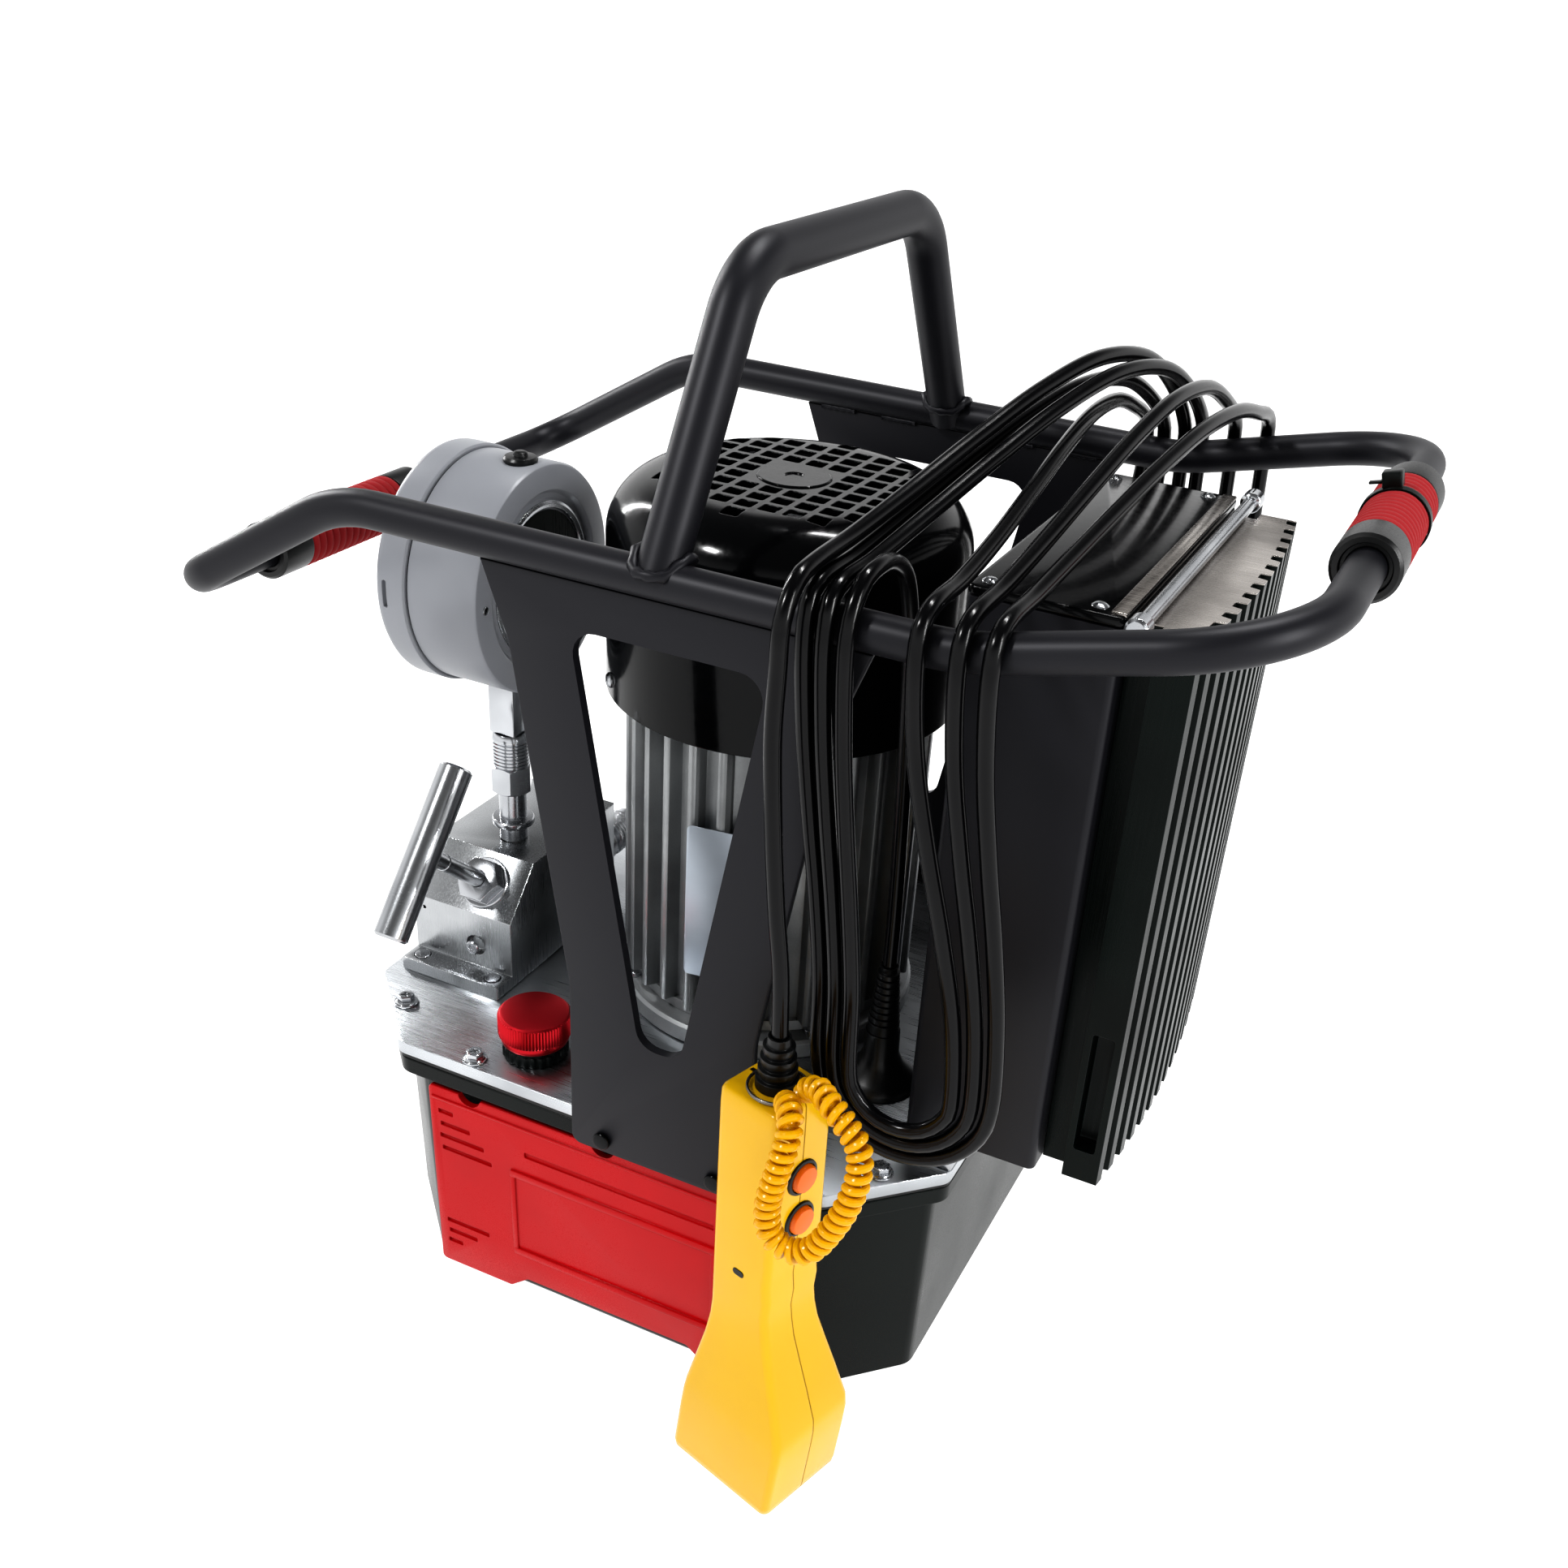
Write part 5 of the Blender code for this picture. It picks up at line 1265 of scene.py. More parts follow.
    def make(self) -> None:
        """Build and dress the tank, plate and filler."""
        self.place("oil_tank", self.tank(), BLACK_ABS, ("tank",))
        self.place("front_panel", self.panel(), RED_ABS, ("tank_front_panel",), smooth=40)
        low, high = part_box("top_plate")
        plate = extruded(plate_outline(0, 0, 0.010, 6), low[2], high[2], bevel=0.0009)
        self.place("cover_plate", plate, MILLED_ALUMINIUM, ("top_plate",))
        middle_x, half_x, half_y = (low[0] + high[0]) / 2, (high[0] - low[0]) / 2, (high[1] - low[1]) / 2
        spots = [
            (middle_x + side * (half_x - inset_x), end * (half_y - inset_y))
            for side in (-1, 1) for end in (-1, 1) for inset_x, inset_y in self.screw_insets
        ]
        nodes = [f"plate_screw_{side}" for side in ("rear_left", "front_left", "front_right", "rear_right")]
        for number, (x, y) in enumerate(spots):
            stood_for = [node for node in nodes
                         if (Vector(centre_of(node)).xy - Vector((x, y))).length < 0.01]
            self.place(f"cover_screw_{number}", self.screw(x, y), ZINC_STEEL, stood_for)
        self.dress(BLACK_RUBBER, "tank_seal")
        neck_low, neck_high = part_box("filler_neck")
        x, y, _ = centre_of("filler_neck")
        bore = 0.0125
        collar = extruded(wavy(0.0185, 0.0010, 24, steps=6), neck_low[2], neck_high[2] - 0.002, bevel=0.0007)
        collar.transform(Matrix.Translation((x, y, 0)))
        lip = turned(rectangle(bore, 0.0170, neck_high[2] - 0.0025, neck_high[2]), (x, y, 0), steps=48)
        hole = turned(pin(bore, neck_low[2] - 0.01, neck_high[2] + 0.01), (x, y, 0), steps=48)
        self.place("filler_collar", joined(carved(collar, hole), lip), BLACK_ABS, ("filler_neck",))
        self.place("knurled_oil_cap", self.cap(), RED_ANODISED, ("oil_cap",), "filler_cap")


# ---------------------------------------------------------------- valve block and gauge


# Where the gauge's fittings stand on the valve block
GAUGE_PORT = (-0.168, -0.046)


@dataclass
class ValveBlock(Assembly):
    """Aluminium valve block with its relief valve and ports."""

    slope_middle: tuple[float, float, float] = (-0.165, -0.0795, 0.2215)
    slope_normal: tuple[float, float, float] = (0.0, -0.757, 0.653)
    bar_direction: tuple[float, float, float] = (0.0, 0.653, 0.757)
    bar_length: float = 0.101
    bar_radius: float = 0.0095
    bar_out: float = 0.072
    bolt_y: float = -0.099
    bolt_z: float = 0.171
    outlet_z: float = 0.19965
    outlets: dict[str, float] = field(default_factory=lambda: {"outlet_advance": -0.193,
                                                               "outlet_retract": -0.155})

    def block(self) -> Mesh:
        """Mill the block, with its ports bored in."""
        low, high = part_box("valve_block")
        side = [(-0.107, low[2]), (-0.107, self.bolt_z), (-0.092, self.bolt_z), (-0.092, 0.207),
                (-0.067, high[2]),
                (0.022, high[2]), (0.022, low[2])]
        body = extruded(side, low[0], high[0], "X", 0.0007)
        front = -0.092
        tools = [
            turned(pin(0.0012, -0.006, 0.01), (low[0] + 0.007, front, 0.200), (0, -1, 0), 24),
            turned([(0, -0.004), (0.0046, -0.004), (0.0065, -0.001), (0.0065, 0.002), (0, 0.002)],
                   (-0.165, front, 0.185), (0, -1, 0), 40),
        ]
        for x in (low[0] + 0.009, high[0] - 0.009):
            tools.append(turned(pin(0.0052, -0.004, 0.01), (x, self.bolt_y, self.bolt_z), steps=32))
        for x in self.outlets.values():
            tools.append(turned(pin(0.0062, -0.008, 0.01), (x, 0.022, self.outlet_z), (0, 1, 0), 32))
        tools.append(turned(pin(0.0082, -0.004, 0.01), (*GAUGE_PORT, high[2]), steps=40))
        return carved(body, *tools)

    def bung(self, place: Point, direction: Point, radius: float) -> Mesh:
        """Make a socket-head plug."""
        head = turned([(0, 0), (radius, 0), (radius, 0.0008), (radius - 0.0007, 0.0015), (0, 0.0015)],
                      steps=32)
        socket = extruded(circle(radius * 0.5, 6), 0.0003, 0.01)
        head = carved(head, socket)
        head.transform(aimed(place, direction))
        return head

    def coupling(self, x: float) -> Mesh:
        """Turn one screw-on outlet coupling with its collar and cap thread."""
        low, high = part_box("outlet_advance")
        length = high[1] - low[1]
        radius = (high[2] - low[2]) / 2
        neck, root, bore = radius * 0.72, radius - 0.0007, radius * 0.45
        profile = [(0, 0), (radius, 0), (radius, 0.008), (neck, 0.0095), (neck, 0.0125),
                   (radius * 0.98, 0.014)]
        at = 0.015
        while at < length - 0.010:
            profile += [(radius, at), (radius, at + 0.0014), (root, at + 0.0019), (root, at + 0.0023)]
            at += 0.0028
        profile += [(radius * 0.8, length - 0.007), (radius * 0.8, length - 0.0008), (neck, length),
                    (bore, length), (bore, length - 0.010), (0, length - 0.010)]
        return turned(profile, (x, 0.0223, self.outlet_z), (0, 1, 0), 48)

    def relief_valve(self) -> None:
        """Make the gland, the stem and the T-bar of the relief valve."""
        place, normal = self.slope_middle, self.slope_normal
        face = turned([(0, 0.0003), (0.0150, 0.0003), (0.0152, 0.0008), (0.0152, 0.0018), (0.0146, 0.0024),
                       (0, 0.0026)], steps=48)
        nut = extruded(circle(0.01386, 6), 0.0022, 0.0112)
        chamfer = turned([(0, 0.002), (0.0143, 0.002), (0.0143, 0.0098), (0.0120, 0.0112), (0, 0.0112)],
                         steps=48)
        nut = carved(nut, chamfer, operation="INTERSECT")
        hole = turned(pin(0.0053, -0.01, 0.03), steps=32)
        nut = carved(nut, hole.copy())
        face = carved(face, hole)
        gland = joined(face, nut)
        gland.transform(aimed(place, normal))
        self.place("relief_valve_gland", gland, ZINC_STEEL, ("relief_gland",))
        out, thick, groove = self.bar_out, 0.0050, 0.0046
        below = out - self.bar_radius
        stem = turned([(0, 0.004), (thick, 0.004), (thick, below - 0.012), (groove, below - 0.0115),
                       (groove, below - 0.008), (thick, below - 0.0075), (thick, out - 0.0092),
                       (0, out - 0.0092)],
                      place, normal, 40)
        self.place("relief_valve_stem", stem, GROUND_STEEL, ("relief_stem",), "relief_valve")
        middle = Vector(place) + out * Vector(normal)
        half, radius = self.bar_length / 2, self.bar_radius
        bar = turned([(0, -half + 0.0008), (0.0030, -half), (radius - 0.0014, -half),
                      (radius, -half + 0.0014),
                      (radius, half - 0.0014), (radius - 0.0014, half), (0.0030, half), (0, half - 0.0008)],
                     middle, self.bar_direction, 64)
        self.place("relief_valve_bar", bar, GROUND_STEEL, ("relief_t_bar",), "relief_valve", smooth=25)

    def make(self) -> None:
        """Build and dress the block."""
        self.place("milled_valve_block", self.block(), MILLED_BLOCK, ("valve_block",))
        plugs = [self.bung((-0.165, -0.0950, 0.185), (0, -1, 0), 0.0044),
                 self.bung((-0.140, -0.030, 0.205), (1, 0, 0), 0.006),
                 self.bung((-0.140, 0.000, 0.180), (1, 0, 0), 0.006),
                 self.bung((-0.208, -0.060, 0.185), (-1, 0, 0), 0.0065)]
        self.place("gallery_plugs", joined(*plugs), ZINC_STEEL)
        bolts = [turned(pin(0.0046, -0.0038, 0.0006, 0.0004), (x, self.bolt_y, self.bolt_z), steps=32)
                 for x in (-0.199, -0.149)]
        self.place("block_bolts", joined(*bolts), ZINC_STEEL)
        for name, x in self.outlets.items():
            self.place(f"{name}_coupling", self.coupling(x), ZINC_STEEL, (name,))
        self.relief_valve()


# The bars that make up each digit of the scale: a on top, b and c right, d below, e and f left, g across
SEGMENTS = {"0": "abcdef", "2": "abged", "4": "fgbc", "6": "afgedc", "8": "abcdefg"}


@dataclass
class PressureGauge(Assembly):
    """Pressure gauge on its fittings, facing the left end."""

    axis_y: float = GAUGE_PORT[1]
    axis_z: float = 0.403
    dial_x: float = -0.1780
    highest: int = 800
    divisions: int = 40

    def disc(self, profile: Outline, steps: int = 96) -> Mesh:
        """Spin a profile whose heights are distances along +X from x = 0."""
        return turned(profile, (0, self.axis_y, self.axis_z), (1, 0, 0), steps)

    def figure(self, sign: str, across: float, up: float, height: float) -> list[Mesh]:
        """Draw one digit from bars on the dial."""
        wide, thick = height * 0.5, height * 0.13
        lines = {
            "a": (-wide / 2, height / 2, wide / 2, height / 2), "g": (-wide / 2, 0, wide / 2, 0),
            "d": (-wide / 2, -height / 2, wide / 2, -height / 2), "b": (wide / 2, 0, wide / 2, height / 2),
            "c": (wide / 2, -height / 2, wide / 2, 0), "e": (-wide / 2, -height / 2, -wide / 2, 0),
            "f": (-wide / 2, 0, -wide / 2, height / 2),
        }
        bars = []
        for key in SEGMENTS[sign]:
            left, bottom, right, top = lines[key]
            bars.append(block((-0.0001, across + left - thick / 2, up + bottom - thick / 2),
                              (0.0, across + right + thick / 2, up + top + thick / 2)))
        return bars

    def scale(self) -> Mesh:
        """Print the scale's marks and round numbers, seen from the left end."""
        marks = []
        mirror = Matrix.Diagonal((1, -1, 1, 1))
        for step in range(self.divisions + 1):
            turn = math.radians(225 - 270 * step / self.divisions)
            length, half = (0.0065, 0.00035) if step % 5 == 0 else (0.0035, 0.0002)
            bar = block((-0.0001, -half, 0.052 - length), (0.0, half, 0.052))
            bar.transform(mirror @ Matrix.Rotation(turn - math.pi / 2, 4, "X"))
            marks.append(bar)
            if step % 10 == 0:
                number = str(self.highest * step // self.divisions)
                centre_y, centre_z = 0.038 * math.cos(turn), 0.038 * math.sin(turn)
                digits = []
                for place, sign in enumerate(number):
                    digits += self.figure(sign, (place - (len(number) - 1) / 2) * 0.0052, 0, 0.0062)
                whole = joined(*digits)
                whole.transform(mirror @ Matrix.Translation((0, centre_y, centre_z)))
                marks.append(whole)
        whole = joined(*marks)
        whole.transform(Matrix.Translation((self.dial_x - 0.00005, self.axis_y, self.axis_z)))
        bmesh.ops.recalc_face_normals(whole, faces=whole.faces)
        return whole

    def make(self) -> None:
        """Build and dress the gauge."""
        case_low, case_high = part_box("gauge_case")
        ring_low, ring_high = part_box("gauge_ring")
        back, front = case_high[0], ring_low[0]
        case = self.disc([
            (0, back - 0.0026), (0.0385, back - 0.0026), (0.0395, back - 0.0016), (0.0425, back - 0.0016),
            (0.0440, back - 0.0032), (0.0465, back - 0.0032), (0.0480, back - 0.0016), (0.0490, back),
            (0.0600, back), (0.0620, back - 0.0006), (0.0630, back - 0.0022), (0.0630, case_low[0] + 0.0004),
            (0.0615, case_low[0]), (0.0590, case_low[0]), (0.0590, self.dial_x + 0.0012),
            (0, self.dial_x + 0.0012),
        ])
        self.place("gauge_pan", case, GREY_CASE, ("gauge_case",))
        inside = ring_high[0] - 0.0002
        bezel = self.disc([
            (0.0560, front), (0.0590, front), (0.0632, front + 0.0012), (0.0648, front + 0.0032),
            (0.0650, front + 0.0050), (0.0650, ring_high[0] - 0.0012), (0.0640, inside), (0.0632, inside),
            (0.0600, inside), (0.0600, front + 0.0080), (0.0560, front + 0.0030),
        ])
        slot = block((front + 0.0058, self.axis_y - 0.0700, self.axis_z - 0.0075),
                     (front + 0.0084, self.axis_y - 0.0622, self.axis_z + 0.0075), 0.0010)
        self.place("gauge_bezel", carved(bezel, slot), GREY_CASE, ("gauge_ring",))
        seal = self.disc(rectangle(0.0596, 0.0622, ring_high[0] - 0.0004, case_low[0] + 0.0001))
        self.place("gauge_seal", seal, BLACK_RUBBER)
        rim = self.disc([(0.0385, back - 0.0027), (0.0392, back - 0.0010), (0.0412, back - 0.0004),
                         (0.0428, back - 0.0012), (0.0428, back - 0.0030), (0.0385, back - 0.0030)])
        self.place("gauge_back_rim", rim, ZINC_STEEL)
        cover = self.disc([(0, back - 0.0028), (0.0370, back - 0.0028), (0.0378, back - 0.0022),
                           (0, back - 0.0022)])
        self.place("gauge_back_disc", cover, BLACK_ANODISED)
        for side, name in ((-1, "front"), (1, "rear")):
            screw = turned([(0, 0), (0.0024, 0), (0.0022, 0.0010), (0, 0.0014)],
                           (back - 0.0003, self.axis_y + side * 0.0545, self.axis_z), (1, 0, 0), 24)
            self.place(f"gauge_back_screw_{name}", screw, ZINC_STEEL)
        vent = turned([(0, -0.0015), (0.0088, -0.0015), (0.0092, 0.0012), (0.0082, 0.0026), (0.0040, 0.0030),
                       (0.0036, 0.0046), (0.0026, 0.0052), (0, 0.0052)],
                      (back - 0.0135, self.axis_y, case_high[2]), steps=40)
        self.place("gauge_vent_plug", vent, BLACK_RUBBER)
        dial = self.disc(pin(0.0588, self.dial_x, self.dial_x + 0.0008))
        self.place("gauge_face", dial, DIAL_ENAMEL, ("gauge_dial",))
        self.place("gauge_scale", self.scale(), BLACK_PRINT_AND_SLOT_SHADE)
        self.place("gauge_window", self.disc(pin(0.0590, -0.2008, -0.1982)), WINDOW_GLASS, ("gauge_lens",))
        self.dress(BLACK_PRINT_AND_SLOT_SHADE, "gauge_pointer")
        self.fittings()

    def fittings(self) -> None:
        """Make the nipple, the union nut and the square shank between block and case."""
        x, y = GAUGE_PORT
        low, nut_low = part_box("gauge_nipple")[0][2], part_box("gauge_nut")[0][2]
        nipple = turned([(0, low), (0.0078, low), (0.0082, low + 0.0004), (0.0082, low + 0.010),
                         (0.0120, low + 0.0102),
                         (0.0124, low + 0.0110), (0.0124, low + 0.0135), (0.0118, low + 0.0142),
                         (0.0080, low + 0.0144),
                         (0.0080, nut_low - 0.0002), (0, nut_low - 0.0002)], (x, y, 0), steps=48)
        self.place("gauge_nipple_fitting", nipple, ZINC_STEEL, ("gauge_nipple",))
        nut_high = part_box("gauge_nut")[1][2]
        hexagon = extruded(circle(0.0127, 6), nut_low, nut_high)
        length = nut_high - nut_low
        barrel = [(0, 0), (0.0110, 0), (0.0128, 0.0016), (0.0128, length * 0.42), (0.0112, length * 0.44)]
        at = length * 0.44
        while at < length - 0.004:
            barrel += [(0.0104, at + 0.0004), (0.0104, at + 0.0010), (0.0112, at + 0.0014),
                       (0.0112, at + 0.0020)]
            at += 0.0022
        barrel += [(0.0100, length - 0.0004), (0.0096, length), (0, length)]
        trim = turned([(radius, height + nut_low) for radius, height in barrel], steps=48)
        nut = carved(hexagon, trim, operation="INTERSECT")
        nut.transform(Matrix.Translation((x, y, 0)))
        self.place("gauge_union_nut", nut, ZINC_STEEL, ("gauge_nut",))
        socket_low, socket_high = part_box("gauge_socket")
        shank = block((x - 0.0085, y - 0.0085, socket_low[2]), (x + 0.0085, y + 0.0085, socket_high[2]),
                      0.0010)
        self.place("gauge_square_shank", shank, ZINC_STEEL, ("gauge_socket",))


# ---------------------------------------------------------------- motor


@dataclass
class Motor(Assembly):
    """Finned motor under its fan cowl."""

    x: float = -0.018
    fins: int = 30
    fin_radius: float = 0.086
    root_radius: float = 0.0765
    bore: float = 0.068
    cowl_radius: float = 0.097
    shoulder: float = 0.032
    grille_pitch: float = 0.0135
    grille_bar: float = 0.0035
    bolt_circle: float = 0.0815
    nameplate_turn: float = 8.0

    def housing(self) -> Mesh:
        """Cast the finned housing."""
        low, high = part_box("motor_housing")
        outline = []
        for fin in range(self.fins):
            turn = FULL_TURN * fin / self.fins
            for shift, radius in (
                (-0.5, self.root_radius), (-0.22, self.root_radius + 0.0004),
                (-0.135, self.fin_radius - 0.0008),
                (-0.06, self.fin_radius), (0.06, self.fin_radius), (0.135, self.fin_radius - 0.0008),
                (0.22, self.root_radius + 0.0004),
            ):
                angle = turn + shift * FULL_TURN / self.fins
                outline.append((radius * math.cos(angle), radius * math.sin(angle)))
        body = extruded(outline, low[2] + 0.006, high[2] - 0.004, bevel=0.0008)
        rims = [turned(pin(self.root_radius + 0.003, bottom, top), steps=72)
                for bottom, top in ((low[2], low[2] + 0.0065), (high[2] - 0.0045, high[2]))]
        hollow = turned(pin(self.bore, low[2] - 0.01, high[2] + 0.01), steps=72)
        whole = carved(carved(body, *rims, operation="UNION"), hollow)
        whole.transform(Matrix.Translation((self.x, 0, 0)))
        return whole

    def flange(self) -> Mesh:
        """Cast the round base flange."""
        low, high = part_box("motor_flange")
        radius = (high[0] - low[0]) / 2
        return turned([(0, low[2]), (radius - 0.0008, low[2]), (radius, low[2] + 0.001),
                       (radius, high[2] - 0.0040),
                       (radius - 0.0015, high[2] - 0.0022), (self.fin_radius - 0.004, high[2] - 0.0010),
                       (self.fin_radius - 0.006, high[2]), (0, high[2])], (self.x, 0, 0), steps=96)

    def cowl(self) -> Mesh:
        """Press the cowl, with its square grille and hub disc."""
        low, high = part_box("fan_cowl")
        wall, radius, round_off = 0.002, self.cowl_radius, self.shoulder
        outer, inner = [], []
        for step in range(13):
            turn = math.pi / 2 * step / 12
            across, up, within = math.cos(turn), math.sin(turn), round_off - wall
            outer.append((radius - round_off * (1 - across), high[2] - round_off * (1 - up)))
            inner.append((radius - round_off + within * across, high[2] - round_off + within * up))
        profile = [(radius - wall, low[2]), (radius - 0.0004, low[2]), (radius, low[2] + 0.0004), *outer,
                   (0, high[2]), (0, high[2] - wall), *reversed(inner)]
        shell = turned(profile, steps=128)
        pitch, half = self.grille_pitch, (self.grille_pitch - self.grille_bar) / 2
        tools = []
        reach, hub = radius - round_off + 0.009, 0.021
        for row in range(-6, 7):
            for column in range(-6, 7):
                x, y = row * pitch, column * pitch
                far = math.hypot(x, y)
                if far + half * 1.2 > reach or far < hub:
                    continue
                outline = rounded(rectangle(x - half, x + half, y - half, y + half), 0.0012, 3)
                tools.append(extruded(outline, high[2] - round_off * 0.6, high[2] + 0.01))
        shell = carved(shell, joined(*tools))
        shell.transform(Matrix.Translation((self.x, 0, 0)))
        return shell

    def hub(self) -> Mesh:
        """Stamp the raised hub disc with its centre hole."""
        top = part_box("fan_cowl")[1][2]
        return turned([(0.0042, top - 0.0004), (0.0190, top - 0.0004), (0.0198, top + 0.0002),
                       (0.0190, top + 0.0008),
                       (0.0052, top + 0.0008), (0.0044, top + 0.0002)], (self.x, 0, 0), steps=64)

    def fan(self) -> Mesh:
        """Mould the fan: a hub, a backplate and straight blades."""
        low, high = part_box("motor_fan")
        radius = (high[0] - low[0]) / 2
        plate = turned([(0.0085, low[2]), (radius - 0.004, low[2]), (radius - 0.004, low[2] + 0.003),
                        (0.019, low[2] + 0.003), (0.017, high[2] - 0.004), (0.0085, high[2] - 0.004)],
                        steps=64)
        blades = []
        for blade in range(9):
            fin = block((0.0165, -0.0012, low[2] + 0.0025), (radius, 0.0012, high[2]), 0.0005)
            fin.transform(Matrix.Rotation(FULL_TURN * blade / 9, 4, "Z"))
            blades.append(fin)
        whole = joined(plate, *blades)
        whole.transform(Matrix.Translation((self.x, 0, 0)))
        return whole

    def nameplate(self) -> Mesh:
        """Cut the blank nameplate, which lies on the tips of the fins."""
        foil = extruded(rounded(rectangle(-0.021, 0.021, 0.212, 0.306), 0.003), -0.0004, 0.0, "Y", 0.0001)
        bmesh.ops.subdivide_edges(foil, edges=[edge for edge in foil.edges if edge.calc_length() > 0.03],
                                  cuts=1)
        turn = Matrix.Rotation(math.radians(self.nameplate_turn), 4, "Z")
        outward = Matrix.Translation((0, -self.fin_radius - 0.0006, 0))
        foil.transform(Matrix.Translation((self.x, 0, 0)) @ turn @ outward)
        return foil

    def make(self) -> None:
        """Build and dress the motor."""
        self.place("finned_housing", self.housing(), DIE_CAST, ("motor_housing",), smooth=30)
        self.place("base_flange", self.flange(), DIE_CAST, ("motor_flange",))
        bolts, screws = [], []
        head = [(0, -0.001), (0.0042, -0.001), (0.0042, 0.0008), (0.0030, 0.0022), (0.0008, 0.0026),
                (0, 0.0020)]
        for quarter in range(4):
            turn = math.radians(45 + 90 * quarter)
            across, along = math.cos(turn), math.sin(turn)
            spot = (self.x + self.bolt_circle * across, self.bolt_circle * along, 0.1745)
            bolts.append(turned(pin(0.0042, 0, 0.0045, 0.0006), spot, steps=24))
            spot = (self.x + self.cowl_radius * across, self.cowl_radius * along, 0.3665)
            screws.append(turned(head, spot, (across, along, 0), 24))
        self.place("flange_bolts", joined(*bolts), ZINC_STEEL)
        self.place("cowl_pressing", self.cowl(), BLACK_ENAMEL, ("fan_cowl",), smooth=40)
        self.place("cowl_hub", self.hub(), BLACK_ENAMEL)
        self.place("cowl_screws", joined(*screws), ZINC_STEEL)
        self.place("cooling_fan", self.fan(), BLACK_ABS, ("motor_fan",), "rotor")
        self.place("blank_nameplate", self.nameplate(), FOIL)
        self.dress(DIE_CAST, "motor_end_shield")
        self.dress(CAST_IRON, "motor_stator", "pump_unit")
        self.dress(ZINC_STEEL, "bearing_lower", "bearing_upper", "suction_strainer")
        self.dress(GROUND_STEEL, "motor_rotor")


# ---------------------------------------------------------------- electrical box


